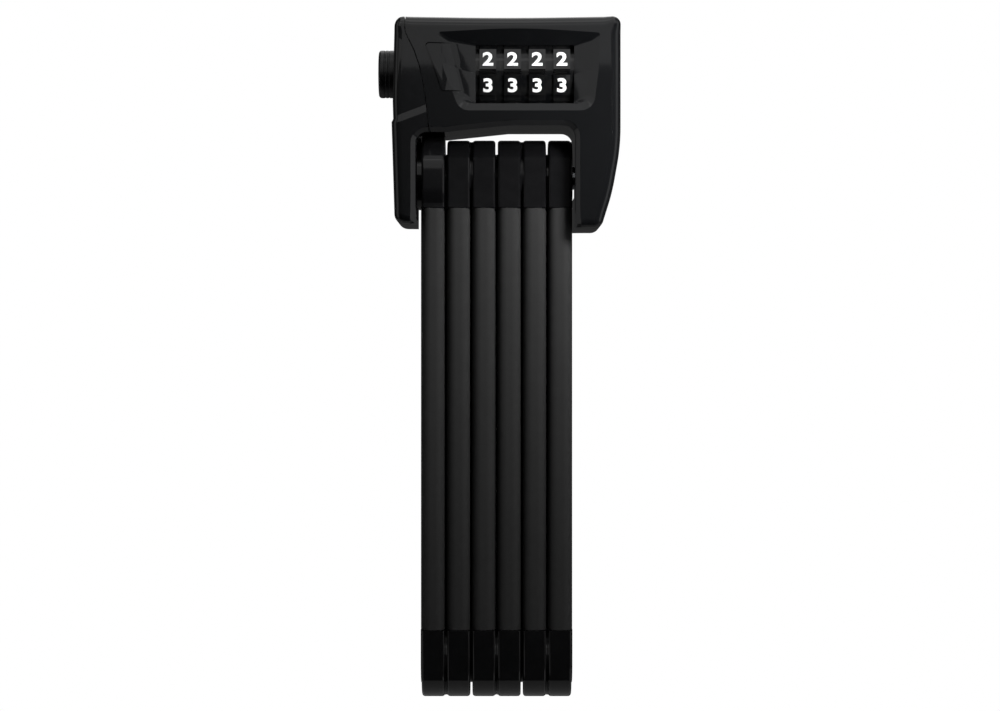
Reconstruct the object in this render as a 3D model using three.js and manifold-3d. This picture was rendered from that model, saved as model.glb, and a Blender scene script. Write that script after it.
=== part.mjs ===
// A folding bike lock: six jacketed steel bars in a folded pack, held in a U-shaped lock housing
// with four number dials, a push button and a bolt that traps the stud of the last bar.
//
// Millimetres, +Z up, +X to the right, the front faces -Y. The origin is the middle of the bar
// pack in X and Y, at the height of the underside of the housing's right arm.
import * as THREE from "three";
import { mergeVertices } from "three/addons/utils/BufferGeometryUtils.js";
import Module from "manifold-3d";

const wasm = await Module();
wasm.setup();

// ---------------------------------------------------------------------------------------------
// Driving dimensions
// ---------------------------------------------------------------------------------------------

// Bars
const barCount = 6;
const barPitch = 7.37; // from bar to bar, across the pack
const hingePitch = 141.1; // from the top axis to the bottom axis
const topAxisZ = 15.5; // the axis shared by all the upper hinges
const barWidth = 22;
const coreThickness = 5;
const jacketWall = 0.7; // over the flat faces of a core
const jacketEdge = 1.25; // over the narrow edges of a core
const tipReach = 11; // from a hinge axis to the tip of the bar
const shoulderRise = 5.3; // from a hinge axis to where the straight edges meet the arched end
const capReach = 9.2; // from a hinge axis to the joint between cap and sleeve
const capRounding = 1.1;
const sleeveRounding = 1.3;
const headRadius = 13.5; // the larger upper end of the first bar
const padInset = 0.4; // from a bar's edge to the round pad on its end
const padRoot = 0.3; // how far that pad reaches into the bar's face

// Rivets
const rivetRadius = 3.5;
const rivetHeadRadius = 5.7;
const armRivetHead = 1.5; // thickness of the head inside the left arm
const armRivetSink = 0.9; // how far that head lies inside the frame's left face

// Fits and clearances
const jacketGap = 0.15; // between a core and what is moulded over it
const runningGap = 0.1; // radial, where a bar turns on a rivet
const faceGap = 0.1; // axial, between faces that turn past each other
const coverGap = 0.3; // between the frame and the covers round it
const seamGap = 0.3; // between one cover and the next
const slideGap = 0.25; // round pieces that slide

// Housing
const housingLeft = -30.5;
const housingRight = 35.8;
const housingTop = 61.3;
const housingDepth = 36;
const coverWall = 2;
const frontWall = 4.7;
const coverChamfer = 1.8;
const leftArmInner = -23.3;
const rightArmInner = 22.6;
const leftArmBottom = 1.2;
const archLeftZ = 27.8;
const archRightZ = 29.7;

// Dials
const dialCount = 4;
const dialPitch = 7.12;
const firstDialX = -2.5;
const dialWidth = 6.6;
const dialRadius = 12.6;
const collarDrop = 0.9; // how far a dial's collars lie below its digit pads
const dialCollarWidth = 0.9;
const dialBore = 8.6;
const digitCount = 10;
const grooveShare = 0.22; // share of a digit's pitch taken by the groove
const dialSink = 2.5; // from the housing's front down to the dials
const dialAxisZ = 45.7;
const bayGap = 0.5; // round the dials

// Dial window
const windowHeight = 16.7;
const windowZ = 44.6;
const scoopDepth = 3;
const panelDepth = 1.2; // of the panel inlaid beside the window

// Code sleeves, barrel and spindle
const sleeveOuter = 8.35;
const sleeveInner = 7.7;
const codeSleeveWidth = 6.2;
const webThickness = 1.6;
const webBore = 6.2;
const barrelOuter = 6;
const barrelInner = 3.5;
const spindleRadius = 3.2;
const finThickness = 1.2;
const finReach = 7.3;
const buttonTravel = 3.5;

// Push button
const buttonRadius = 6.95;
const buttonOut = 3.9; // how far it stands out of the housing
const buttonRounding = 0.9;
const buttonFlange = 1.3; // how far its collar stands out round the head
const buttonCollar = 1.5;
const buttonHub = 5.2;
const buttonStop = 0.6; // from the wall's nominal inner face to the collar
const leafThickness = 0.5; // of the leaf spring behind the dials
const springWire = 0.8;
const springRadius = 4.5;
const springTurns = 5;

// Locking stud and bolt
const studNeck = 3.4;
const studFlange = 4.6;
const studFlangeWidth = 2.6;
const studDrop = 2.1; // how far the stud drops on its way out of the channel
const studPlay = 0.5; // round the stud, above and below
const boltThickness = 4;
const boltX = 26.4;
const boltLegFront = 5.2;
const boltLegBack = 10.2;
const boltShoulderZ = 38;
const boltSpringRadius = 1.6;
const boltSpringWire = 0.5;
const rampGap = 0.4; // upright, between the spindle's slanted tip and the bolt's ramp

// Screws
const screwRadius = 1.3;
const screwHeadRadius = 2.6;
const screwLength = 14;

// How finely round shapes are divided
const roundSteps = 16;
const tipSteps = 6;
const cornerSteps = 3;
const turnSteps = 9; // along each turn of a coil spring

// ---------------------------------------------------------------------------------------------
// Worked out from the above
// ---------------------------------------------------------------------------------------------

const bottomAxisZ = topAxisZ - hingePitch;
const barHalf = barWidth / 2;
const barThickness = coreThickness + 2 * (jacketWall + jacketGap);
const coreInset = jacketEdge + jacketGap; // from a bar's outline to its core's
const coreHalf = barHalf - coreInset;
const tipRise = tipReach - shoulderRise;
const endRadius = (barHalf ** 2 + tipRise ** 2) / (2 * tipRise); // of the arched end of a bar
const endCentre = tipReach - endRadius; // from a hinge axis to the middle of that arch
const padHeight = (barPitch - barThickness - faceGap) / 2; // a pad or head standing off a bar's face
const barX = (i) => (i - (barCount - 1) / 2) * barPitch;
const packLeft = barX(0) - barThickness / 2;
const halfDepth = housingDepth / 2;
const dialAxisY = dialSink - halfDepth + dialRadius;
const dialCollarRadius = dialRadius - collarDrop;
const bayRadius = dialRadius + bayGap;
const innerWall = coverWall + coverGap;
const frameFront = -(halfDepth - frontWall);
const frameBack = halfDepth - innerWall;
const frameLeft = housingLeft + innerWall;
const armHeadLeft = frameLeft + armRivetSink;
const bayLeft = firstDialX - dialPitch / 2;
const bayRight = firstDialX + (dialCount - 0.5) * dialPitch;
const windowX = (bayRight + bayLeft) / 2;
const buttonFace = housingLeft - buttonOut;
const collarLeft = housingLeft + coverWall + buttonStop;
const collarRight = collarLeft + buttonCollar;
const hubRight = collarRight + 3.3;
const springSeat = bayLeft - 3.9;
const collarBore = hubRight + buttonTravel + 0.4;
const channelTop = topAxisZ + studFlange + studPlay;
const channelBottom = topAxisZ - studFlange - studPlay - studDrop;
const boltRight = boltX + boltThickness;
const boltFront = dialAxisY - spindleRadius + 0.1;
const finX = (i) => firstDialX + i * dialPitch - buttonTravel / 2;
const spindleTip = boltRight - 1.4;
const rampFoot = dialAxisZ - spindleRadius - 0.6;
const neckTop = topAxisZ + studNeck + studPlay; // of the slot for the stud's neck
const neckBottom = topAxisZ - studNeck - studPlay - studDrop;
const leafFace = dialAxisY + dialRadius + 1.1; // of the leaf spring behind the dials
const screwPlaces = [
  [bayLeft - 4.4, housingTop - 6.6],
  [housingRight - 5.4, housingTop - 6.6],
  [rightArmInner + 5, 5.4],
];

// ---------------------------------------------------------------------------------------------
// Materials
// ---------------------------------------------------------------------------------------------

function finish(colour, roughness, metalness) {
  return { color: colour, roughness, metalness };
}

const housingPlastic = finish(0x1f2022, 0.42, 0);
const capPlastic = finish(0x121314, 0.4, 0);
const softSleeve = finish(0x2e2e2e, 0.75, 0);
const dialPlastic = finish(0x17181a, 0.45, 0);
const buttonPlastic = finish(0x1b1c1e, 0.5, 0);
const blackSteel = finish(0x24262a, 0.4, 0.9);
const brightSteel = finish(0x9a9da3, 0.3, 1);
const brass = finish(0xb08d4a, 0.35, 1);
const springSteel = finish(0x8c8f94, 0.35, 1);

// ---------------------------------------------------------------------------------------------
// Solids
// ---------------------------------------------------------------------------------------------

// A closed three.js geometry as a solid that can be joined and cut.
function solid(geometry) {
  const bare = geometry.index ? geometry.toNonIndexed() : geometry.clone();
  bare.deleteAttribute("normal");
  bare.deleteAttribute("uv");
  const merged = mergeVertices(bare, 1e-4);
  const vertProperties = new Float32Array(merged.attributes.position.array);
  const triVerts = new Uint32Array(merged.index.array);
  return new wasm.Manifold(new wasm.Mesh({ numProp: 3, vertProperties, triVerts }));
}

// A solid as a named mesh.
function part(name, body, look) {
  const mesh = body.getMesh();
  const positions = new Float32Array(mesh.numVert * 3);
  for (let i = 0; i < mesh.numVert; i++) {
    const start = i * mesh.numProp;
    positions.set(mesh.vertProperties.subarray(start, start + 3), i * 3);
  }
  const geometry = new THREE.BufferGeometry();
  geometry.setAttribute("position", new THREE.BufferAttribute(positions, 3));
  geometry.setIndex(new THREE.BufferAttribute(new Uint32Array(mesh.triVerts), 1));
  geometry.computeVertexNormals();
  const made = new THREE.Mesh(geometry, new THREE.MeshStandardMaterial(look));
  made.name = name;
  return made;
}

// Turns that lay a flat shape's width, height and depth along the axes wanted.
const alongX = new THREE.Matrix4().makeBasis(
  new THREE.Vector3(0, 1, 0),
  new THREE.Vector3(0, 0, 1),
  new THREE.Vector3(1, 0, 0),
);
const alongMinusY = new THREE.Matrix4().makeBasis(
  new THREE.Vector3(1, 0, 0),
  new THREE.Vector3(0, 0, 1),
  new THREE.Vector3(0, -1, 0),
);

// Extrudes a shape by depth, with its edges chamfered or rounded inside its outline.
function extruded(shape, depth, rounding = 0, roundingSteps = 1, curveSegments = cornerSteps) {
  const geometry = new THREE.ExtrudeGeometry(shape, {
    depth: depth - 2 * rounding,
    steps: 1,
    curveSegments,
    bevelEnabled: rounding > 0,
    bevelThickness: rounding,
    bevelSize: rounding,
    bevelOffset: -rounding,
    bevelSegments: roundingSteps,
  });
  return geometry.translate(0, 0, rounding);
}

// A shape drawn in (Y, Z), extruded from x0 to x1.
function extrudeX(shape, x0, x1, rounding, roundingSteps, curveSegments) {
  const geometry = extruded(shape, x1 - x0, rounding, roundingSteps, curveSegments);
  return solid(geometry.applyMatrix4(alongX).translate(x0, 0, 0));
}

// A shape drawn in (X, Z), extruded from y0 to y1.
function extrudeY(shape, y0, y1, rounding, roundingSteps, curveSegments) {
  const geometry = extruded(shape, y1 - y0, rounding, roundingSteps, curveSegments);
  return solid(geometry.applyMatrix4(alongMinusY).translate(0, y1, 0));
}

// A shape drawn in (X, Y), extruded from z0 to z1.
function extrudeZ(shape, z0, z1) {
  return solid(extruded(shape, z1 - z0).translate(0, 0, z0));
}

// A box between two corners.
function box(x0, x1, y0, y1, z0, z1) {
  const geometry = new THREE.BoxGeometry(x1 - x0, y1 - y0, z1 - z0);
  return solid(geometry.translate((x0 + x1) / 2, (y0 + y1) / 2, (z0 + z1) / 2));
}

// A cylinder along X from x0 to x1, on the line through (y, z).
function cylinderX(radius, x0, x1, y, z, steps = roundSteps) {
  const geometry = new THREE.CylinderGeometry(radius, radius, x1 - x0, steps);
  return solid(geometry.rotateZ(-Math.PI / 2).translate((x0 + x1) / 2, y, z));
}

// A cylinder along Y from y0 to y1, on the line through (x, z).
function cylinderY(radius, y0, y1, x, z, steps = roundSteps) {
  const geometry = new THREE.CylinderGeometry(radius, radius, y1 - y0, steps);
  return solid(geometry.translate(x, (y0 + y1) / 2, z));
}

// A solid of revolution about a line along X: pairs of x and radius, from left to right.
function turnedX(pairs, y, z, steps = roundSteps) {
  const points = pairs.map(([x, radius]) => new THREE.Vector2(radius, x));
  const geometry = new THREE.LatheGeometry(points, steps);
  return solid(geometry.rotateZ(-Math.PI / 2).rotateX(Math.PI / 2).translate(0, y, z));
}

// A coil spring along an axis: wire of a few sides swept along a helix, its ends cut square.
function coilSpring(radius, wire, turns, length, place) {
  class Helix extends THREE.Curve {
    getPoint(t, target = new THREE.Vector3()) {
      const angle = 2 * Math.PI * turns * t;
      const along = wire / 2 + t * (length - wire);
      return place(radius * Math.cos(angle), radius * Math.sin(angle), along, target);
    }
  }
  const section = new THREE.Shape();
  const sides = 4;
  for (let i = 0; i < sides; i++) {
    const angle = (2 * Math.PI * i) / sides;
    const x = (wire / 2) * Math.cos(angle);
    const y = (wire / 2) * Math.sin(angle);
    if (i === 0) section.moveTo(x, y);
    else section.lineTo(x, y);
  }
  section.closePath();
  const path = new Helix();
  path.arcLengthDivisions = 400;
  const geometry = new THREE.ExtrudeGeometry(section, { steps: turns * turnSteps, extrudePath: path });
  return solid(geometry);
}

// ---------------------------------------------------------------------------------------------
// Outlines
// ---------------------------------------------------------------------------------------------

// A closed shape through corners [u, v, radius], each corner rounded.
function roundedShape(corners) {
  const shape = new THREE.Shape();
  corners.forEach(([u, v, radius], i) => {
    const corner = new THREE.Vector2(u, v);
    const before = corners[(i + corners.length - 1) % corners.length];
    const after = corners[(i + 1) % corners.length];
    const back = new THREE.Vector2(before[0], before[1]).sub(corner);
    const ahead = new THREE.Vector2(after[0], after[1]).sub(corner);
    const turn = Math.PI - Math.acos(back.dot(ahead) / (back.length() * ahead.length()));
    const wanted = radius * Math.tan(turn / 2);
    const reach = Math.min(wanted, 0.49 * back.length(), 0.49 * ahead.length());
    const start = corner.clone().addScaledVector(back.normalize(), reach);
    const end = corner.clone().addScaledVector(ahead.normalize(), reach);
    if (i === 0) shape.moveTo(start.x, start.y);
    else shape.lineTo(start.x, start.y);
    if (reach > 0.01) shape.quadraticCurveTo(u, v, end.x, end.y);
  });
  shape.closePath();
  return shape;
}

// The corners of an outline that runs anticlockwise, moved inwards by a distance.
function inset(corners, distance) {
  return corners.map(([u, v, radius], i) => {
    const [pu, pv] = corners[(i + corners.length - 1) % corners.length];
    const [nu, nv] = corners[(i + 1) % corners.length];
    const into = new THREE.Vector2(u - pu, v - pv).normalize();
    const out = new THREE.Vector2(nu - u, nv - v).normalize();
    const normalIn = new THREE.Vector2(-into.y, into.x);
    const normalOut = new THREE.Vector2(-out.y, out.x);
    const middle = normalIn.clone().add(normalOut).normalize();
    const step = distance / middle.dot(normalIn);
    const convex = into.cross(out) > 0;
    const newRadius = convex ? Math.max(radius - distance, 0) : radius + distance;
    return [u + middle.x * step, v + middle.y * step, newRadius];
  });
}

// The front outline of the whole housing, a wide U open downwards.
const housingCorners = [
  [housingLeft + 1.1, leftArmBottom, 2.6],
  [leftArmInner, leftArmBottom, 0],
  [leftArmInner, archLeftZ, 1.5],
  [leftArmInner + 8.8, archLeftZ, 5],
  [rightArmInner - 19, archRightZ, 5],
  [rightArmInner, archRightZ, 1.5],
  [rightArmInner, 0, 0],
  [housingRight - 6.6, 0, 3],
  [housingRight - 2.4, 10.5, 12],
  [housingRight, 24, 12],
  [housingRight, housingTop, 2.4],
  [(housingLeft + housingRight) / 2, housingTop - 0.5, 12],
  [housingLeft + 0.6, housingTop, 3],
  [housingLeft, housingTop - 24, 12],
];

// The line of the seam round the left side cap, from the top down to the arch.
const seamPoints = [
  [housingLeft + 4.1, housingTop + 5],
  [housingLeft + 4.1, housingTop - 4.6],
  [housingLeft + 6.7, housingTop - 9.8],
  [housingLeft + 8.3, housingTop - 14.4],
  [housingLeft + 9.6, housingTop - 20.4],
  [housingLeft + 10.3, housingTop - 25.9],
  [housingLeft + 11, archLeftZ + 1.2],
  [housingLeft + 11, archLeftZ - 2.6],
  [leftArmInner + 1, archLeftZ - 2.6],
  [leftArmInner + 1, leftArmBottom - 5],
];

// Everything to the left of the seam, its edge moved by an offset along X.
function leftOfSeam(offset) {
  const shape = new THREE.Shape();
  const far = housingLeft - 10;
  shape.moveTo(far, housingTop + 5);
  shape.lineTo(far, leftArmBottom - 5);
  [...seamPoints].reverse().forEach(([x, z]) => shape.lineTo(x + offset, z));
  shape.closePath();
  return extrudeY(shape, -halfDepth - 5, halfDepth + 5);
}

// A bar's side view: two arched ends joined by straight edges, some distance inside the full outline.
function barShape(distance) {
  const shape = new THREE.Shape();
  const radius = endRadius - distance;
  const start = Math.acos((barHalf - distance) / radius);
  shape.absarc(0, topAxisZ + endCentre, radius, start, Math.PI - start, false);
  shape.absarc(0, bottomAxisZ - endCentre, radius, Math.PI + start, 2 * Math.PI - start, false);
  shape.closePath();
  return shape;
}

// ---------------------------------------------------------------------------------------------
// Bars
// ---------------------------------------------------------------------------------------------

// Where bar i is joined: -1 is its left neighbour and +1 its right one.
const topSide = (i) => (i % 2 === 0 ? -1 : 1);
const bottomSide = (i) => -topSide(i);

function barCore(i) {
  const x0 = barX(i) - coreThickness / 2;
  const x1 = x0 + coreThickness;
  let body = extrudeX(barShape(coreInset), x0, x1, 0, 1, tipSteps);
  if (i === 0) {
    const headCore = headRadius - coreInset;
    body = body.add(cylinderX(headCore, x0, x1, 0, topAxisZ, 2 * tipSteps));
  }
  for (const z of [topAxisZ, bottomAxisZ]) {
    body = body.subtract(cylinderX(rivetRadius + runningGap, x0 - 1, x1 + 1, 0, z));
  }
  return body;
}

function barSleeve(i) {
  const halfX = barThickness / 2;
  const x = barX(i);
  const rectangle = (hx, hy, radius) => [
    [x - hx, -hy, radius],
    [x + hx, -hy, radius],
    [x + hx, hy, radius],
    [x - hx, hy, radius],
  ];
  const shape = roundedShape(rectangle(halfX, barHalf, sleeveRounding));
  shape.holes.push(roundedShape(rectangle(coreThickness / 2 + jacketGap, coreHalf + jacketGap, 0)));
  const top = topAxisZ - capReach - jacketGap / 2;
  const bottom = bottomAxisZ + capReach + jacketGap / 2;
  return extrudeZ(shape, bottom, top);
}

// The moulded cap over one end of a bar, with a pad on the side where it is joined to its neighbour
// and a recess for the rivet's head on the other side.
function barCap(i, axisZ, side, radius) {
  const x = barX(i);
  const half = barThickness / 2;
  const up = axisZ === topAxisZ;
  const cut = up ? axisZ - capReach + jacketGap / 2 : axisZ + capReach - jacketGap / 2;
  const far = up ? axisZ + radius + 5 : axisZ - radius - 5;
  const low = Math.min(cut, far);
  const high = Math.max(cut, far);
  const region = box(x - half - 1, x + half + 1, -radius - 5, radius + 5, low, high);
  let body = extrudeX(barShape(0), x - half, x + half, capRounding, 1, tipSteps).intersect(region);
  let pocket = extrudeX(
    barShape(jacketEdge),
    x - coreThickness / 2 - jacketGap,
    x + coreThickness / 2 + jacketGap,
    0,
    1,
    tipSteps,
  );
  if (radius > barHalf) {
    const head = new THREE.Shape().absarc(0, axisZ, radius, 0, 2 * Math.PI, false);
    body = body.add(extrudeX(head, x - half, x + half, capRounding, 1, 2 * tipSteps).intersect(region));
    const hollow = radius - jacketEdge;
    const reach = coreThickness / 2 + jacketGap;
    pocket = pocket.add(cylinderX(hollow, x - reach, x + reach, 0, axisZ, 2 * tipSteps));
  }
  const reachesArm = i === 0 && up;
  const padOuter = x + side * (half + (reachesArm ? packLeft - leftArmInner - faceGap : padHeight));
  const padFrom = Math.min(x + side * (half - padRoot), padOuter);
  const padTo = Math.max(x + side * (half - padRoot), padOuter);
  const pad = cylinderX(barHalf - padInset, padFrom, padTo, 0, axisZ, 2 * tipSteps);
  body = body.add(pad.intersect(box(padFrom - 1, padTo + 1, -radius, radius, low, high)));
  body = body.subtract(pocket);
  body = body.subtract(cylinderX(rivetRadius + coverGap, x - half - 3, x + half + 3, 0, axisZ));
  const recessFrom = Math.min(x, x - side * (half + 1));
  const recessTo = Math.max(x, x - side * (half + 1));
  return body.subtract(cylinderX(rivetHeadRadius + slideGap, recessFrom, recessTo, 0, axisZ));
}

// A rivet with a flat head on each outer face, joining bar i to bar i + 1.
function hingeRivet(i, axisZ) {
  const seat = coreThickness / 2 + faceGap;
  const proud = barThickness / 2 + padHeight;
  const left = barX(i);
  const right = barX(i + 1);
  const pairs = [
    [left - proud, 0],
    [left - proud, rivetHeadRadius],
    [left - seat, rivetHeadRadius],
    [left - seat, rivetRadius],
    [right + seat, rivetRadius],
    [right + seat, rivetHeadRadius],
    [right + proud, rivetHeadRadius],
    [right + proud, 0],
  ];
  return turnedX(pairs, 0, axisZ);
}

// The rivet on which the first bar turns in the left arm.
function armRivet() {
  const seat = barX(0) + coreThickness / 2 + faceGap;
  const face = barX(0) + barThickness / 2 + padHeight;
  const armFace = armHeadLeft + armRivetHead;
  const pairs = [
    [armHeadLeft, 0],
    [armHeadLeft, rivetHeadRadius],
    [armFace, rivetHeadRadius],
    [armFace, rivetRadius],
    [seat, rivetRadius],
    [seat, rivetHeadRadius],
    [face, rivetHeadRadius],
    [face, 0],
  ];
  return turnedX(pairs, 0, topAxisZ);
}

// The stud at the free end of the last bar: its flange rides in the channel of the right arm.
function lockingStud() {
  const x = barX(barCount - 1);
  const face = x - barThickness / 2 - padHeight;
  const flangeLeft = rightArmInner + coverWall + coverGap + 1.6;
  const pairs = [
    [face, 0],
    [face, rivetHeadRadius],
    [x - coreThickness / 2 - faceGap, rivetHeadRadius],
    [x - coreThickness / 2 - faceGap, studNeck],
    [flangeLeft, studNeck],
    [flangeLeft, studFlange],
    [flangeLeft + studFlangeWidth - 0.6, studFlange],
    [flangeLeft + studFlangeWidth, studFlange - 0.6],
    [flangeLeft + studFlangeWidth, 0],
  ];
  return turnedX(pairs, 0, topAxisZ);
}

// ---------------------------------------------------------------------------------------------
// Housing
// ---------------------------------------------------------------------------------------------

// Room for the larger head of the first bar to turn in, behind the lip of the arch.
function headPocket() {
  const right = barX(0) + barThickness / 2 + 0.35;
  return cylinderX(headRadius + 0.5, leftArmInner - 0.01, right, 0, topAxisZ, 2 * tipSteps);
}

function leftBore() {
  const flangeBore = buttonRadius + buttonFlange + slideGap;
  return cylinderX(flangeBore, frameLeft - 1, collarBore, dialAxisY, dialAxisZ)
    .add(cylinderX(springRadius + springWire, frameLeft, springSeat, dialAxisY, dialAxisZ));
}

function boltPocket() {
  const x0 = boltX - slideGap;
  const x1 = boltRight + slideGap;
  const top = rampFoot + boltThickness + 0.6;
  const springFloor = channelTop + 2.4;
  return box(x0, x1, boltFront - slideGap, boltLegBack + slideGap, springFloor, top)
    .add(box(x0, x1, boltLegFront - slideGap, boltLegBack + slideGap, channelTop - 1, springFloor + 1));
}

function lockFrame() {
  const lip = box(
    leftArmInner - innerWall - 1,
    leftArmInner,
    frameFront,
    frameBack,
    leftArmBottom + innerWall,
    archLeftZ - 0.4,
  );
  let body = extrudeY(roundedShape(inset(housingCorners, innerWall)), frameFront, frameBack).add(lip);
  body = body.subtract(headPocket());
  body = body.subtract(cylinderX(bayRadius, bayLeft, bayRight, dialAxisY, dialAxisZ, 2 * roundSteps));
  body = body.subtract(box(bayLeft, bayRight, -40, dialAxisY, dialAxisZ - bayRadius, dialAxisZ + bayRadius));
  body = body.subtract(leftBore());
  const seats = barrelOuter + 0.2;
  body = body.subtract(cylinderX(seats, springSeat - 1, bayRight + 2.6, dialAxisY, dialAxisZ));
  const keyFront = dialAxisY - finThickness / 2 - coverGap;
  const keyBack = dialAxisY + finThickness / 2 + coverGap;
  const keyTop = dialAxisZ + finReach + coverGap;
  body = body.subtract(box(springSeat - 1, bayLeft + 1, keyFront, keyBack, dialAxisZ, keyTop));
  const spindleBore = spindleRadius + slideGap + 0.1;
  body = body.subtract(cylinderX(spindleBore, bayLeft, housingRight, dialAxisY, dialAxisZ));
  body = body.subtract(boltPocket());
  const channelRight = boltRight + slideGap;
  const channelFront = -studFlange - studPlay;
  body = body.subtract(box(rightArmInner, channelRight, channelFront, 40, channelBottom, channelTop));
  body = body.subtract(cylinderX(rivetRadius + runningGap, frameLeft - 1, leftArmInner + 1, 0, topAxisZ));
  body = body.subtract(
    cylinderX(rivetHeadRadius + slideGap, frameLeft - 1, armHeadLeft + armRivetHead + faceGap, 0, topAxisZ),
  );
  body = body.subtract(detentPocket());
  for (const [x, z] of screwPlaces) {
    body = body.subtract(cylinderY(screwRadius + 0.1, frameBack - screwLength, 40, x, z, 12));
  }
  return body;
}

// The housing's skin as one hollow body, before it is parted into covers and cap.
function skin() {
  const outer = extrudeY(roundedShape(housingCorners), -halfDepth, halfDepth, coverChamfer, 2);
  const room = roundedShape(inset(housingCorners, coverWall));
  const hollow = extrudeY(room, frameFront - coverGap, halfDepth - coverWall);
  const armSlot = box(
    leftArmInner - innerWall - 1.3,
    leftArmInner + 1,
    frameFront - coverGap,
    halfDepth - coverWall,
    leftArmBottom + coverWall,
    archLeftZ + 0.01,
  );
  return outer
    .subtract(hollow)
    .subtract(armSlot)
    .subtract(headPocket())
    .subtract(cylinderX(bayRadius, bayLeft, bayRight, dialAxisY, dialAxisZ, 2 * roundSteps));
}

// The scooped surround of the dial window: wide at the front and sloping in to the window.
function windowScoop() {
  const low = windowZ - windowHeight / 2;
  const high = windowZ + windowHeight / 2;
  const corners = [
    [bayLeft - 4.6, low - 2.6, 1],
    [bayRight + 2.2, low - 2.6, 1],
    [bayRight + 4.2, high + 2, 1],
    [bayRight + 5.8, high + 3.4, 1.5],
    [windowX - 1.5, high + 4.4, 6],
    [bayLeft - 9.6, high + 3.5, 1.5],
    [bayLeft - 6.4, low + 9, 1],
  ];
  const mouth = roundedShape(corners);
  return extrudeY(mouth, -halfDepth - scoopDepth, -halfDepth + scoopDepth, 0);
}

function windowOpening() {
  const low = windowZ - windowHeight / 2;
  const high = windowZ + windowHeight / 2;
  return box(bayLeft, bayRight, -halfDepth - 1, dialAxisY, low, high);
}

// The outline of the inlaid panel left of the window.
const panelCorners = [
  [bayLeft - 9.6, windowZ - 5.2, 0.8],
  [bayLeft - 6.9, windowZ - 5.2, 0.3],
  [bayLeft - 7.6, windowZ + 1.5, 1],
  [bayLeft - 9.4, windowZ + 8.9, 0.3],
  [bayLeft - 14, windowZ + 8.9, 1],
  [bayLeft - 12.4, windowZ + 2.9, 3],
];

function windowPanel() {
  return extrudeY(roundedShape(inset(panelCorners, seamGap / 2)), -halfDepth, -halfDepth + panelDepth);
}

function stripScrews(body) {
  let cut = body;
  for (const [x, z] of screwPlaces) {
    cut = cut.subtract(cylinderY(screwRadius + 0.3, 0, 40, x, z, 12));
    cut = cut.subtract(cylinderY(screwHeadRadius + 0.2, halfDepth - 1.2, 40, x, z, 16));
  }
  return cut;
}

const hull = skin();
const neckSlot = box(
  rightArmInner - 1,
  rightArmInner + innerWall + 1,
  -studNeck - studPlay - 0.1,
  40,
  neckBottom,
  neckTop,
);

// The opening in the back through which the stud and its flange come in.
function rearMouth() {
  const through = box(rightArmInner - 1, boltRight + slideGap, 0, 40, channelBottom, channelTop);
  const wallInside = box(
    rightArmInner - 2,
    rightArmInner + coverWall,
    -1,
    halfDepth - coverWall,
    channelBottom - 1,
    channelTop + 1,
  );
  return through.subtract(wallInside);
}

function frontCover() {
  let body = hull
    .subtract(leftOfSeam(seamGap / 2))
    .subtract(box(-80, 80, -seamGap / 2, 80, -20, 80));
  body = body.subtract(windowScoop()).subtract(windowOpening());
  const panelFloor = -halfDepth + panelDepth + seamGap / 2;
  body = body.subtract(extrudeY(roundedShape(panelCorners), -halfDepth - 1, panelFloor));
  return body.subtract(neckSlot);
}

function backCover() {
  const body = hull
    .subtract(leftOfSeam(seamGap / 2))
    .subtract(box(-80, 80, -80, seamGap / 2, -20, 80))
    .subtract(neckSlot)
    .subtract(rearMouth());
  return stripScrews(body);
}

function leftSideCap() {
  const hole = buttonRadius + slideGap;
  return hull
    .intersect(leftOfSeam(-seamGap / 2))
    .subtract(cylinderX(hole, housingLeft - 10, frameLeft + 2, dialAxisY, dialAxisZ));
}

function coverScrew(x, z) {
  const profile = [
    [0, frameBack - screwLength + 1],
    [screwRadius, frameBack - screwLength + 1],
    [screwRadius, halfDepth - 1],
    [screwHeadRadius, halfDepth - 1],
    [screwHeadRadius, halfDepth - 0.2],
    [0, halfDepth - 0.2],
  ].map(([radius, y]) => new THREE.Vector2(radius, y));
  const geometry = new THREE.LatheGeometry(profile, 12);
  const socket = new THREE.CylinderGeometry(1.1, 1.1, 1.6, 6);
  return solid(geometry.translate(x, 0, z)).subtract(solid(socket.translate(x, halfDepth - 0.6, z)));
}

// ---------------------------------------------------------------------------------------------
// Dials, barrel, spindle and button
// ---------------------------------------------------------------------------------------------

// The cogged outline of a dial's middle: a pad for each digit with a groove after it.
function digitShape() {
  const shape = new THREE.Shape();
  const pitch = (2 * Math.PI) / digitCount;
  const padHalf = (pitch * (1 - grooveShare)) / 2;
  const padSteps = 2;
  for (let digit = 0; digit < digitCount; digit++) {
    const middle = (digit + 0.5) * pitch;
    for (let step = 0; step <= padSteps; step++) {
      const angle = middle - padHalf + (2 * padHalf * step) / padSteps;
      const y = dialRadius * Math.cos(angle);
      const z = dialRadius * Math.sin(angle);
      if (digit === 0 && step === 0) shape.moveTo(y, z);
      else shape.lineTo(y, z);
    }
    const groove = middle + pitch / 2;
    for (const offset of [-0.5, 0.5]) {
      const angle = groove + offset * pitch * grooveShare * 0.6;
      shape.lineTo((dialRadius - 0.9) * Math.cos(angle), (dialRadius - 0.9) * Math.sin(angle));
    }
  }
  shape.closePath();
  return shape;
}

function dial(i) {
  const x0 = firstDialX + i * dialPitch - dialWidth / 2;
  const x1 = x0 + dialWidth;
  const cogs = extruded(digitShape(), dialWidth - 2 * dialCollarWidth)
    .applyMatrix4(alongX)
    .translate(x0 + dialCollarWidth, dialAxisY, dialAxisZ);
  return solid(cogs)
    .add(cylinderX(dialCollarRadius, x0, x1, dialAxisY, dialAxisZ, 2 * digitCount))
    .subtract(cylinderX(dialBore, x0 - 1, x1 + 1, dialAxisY, dialAxisZ));
}

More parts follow.
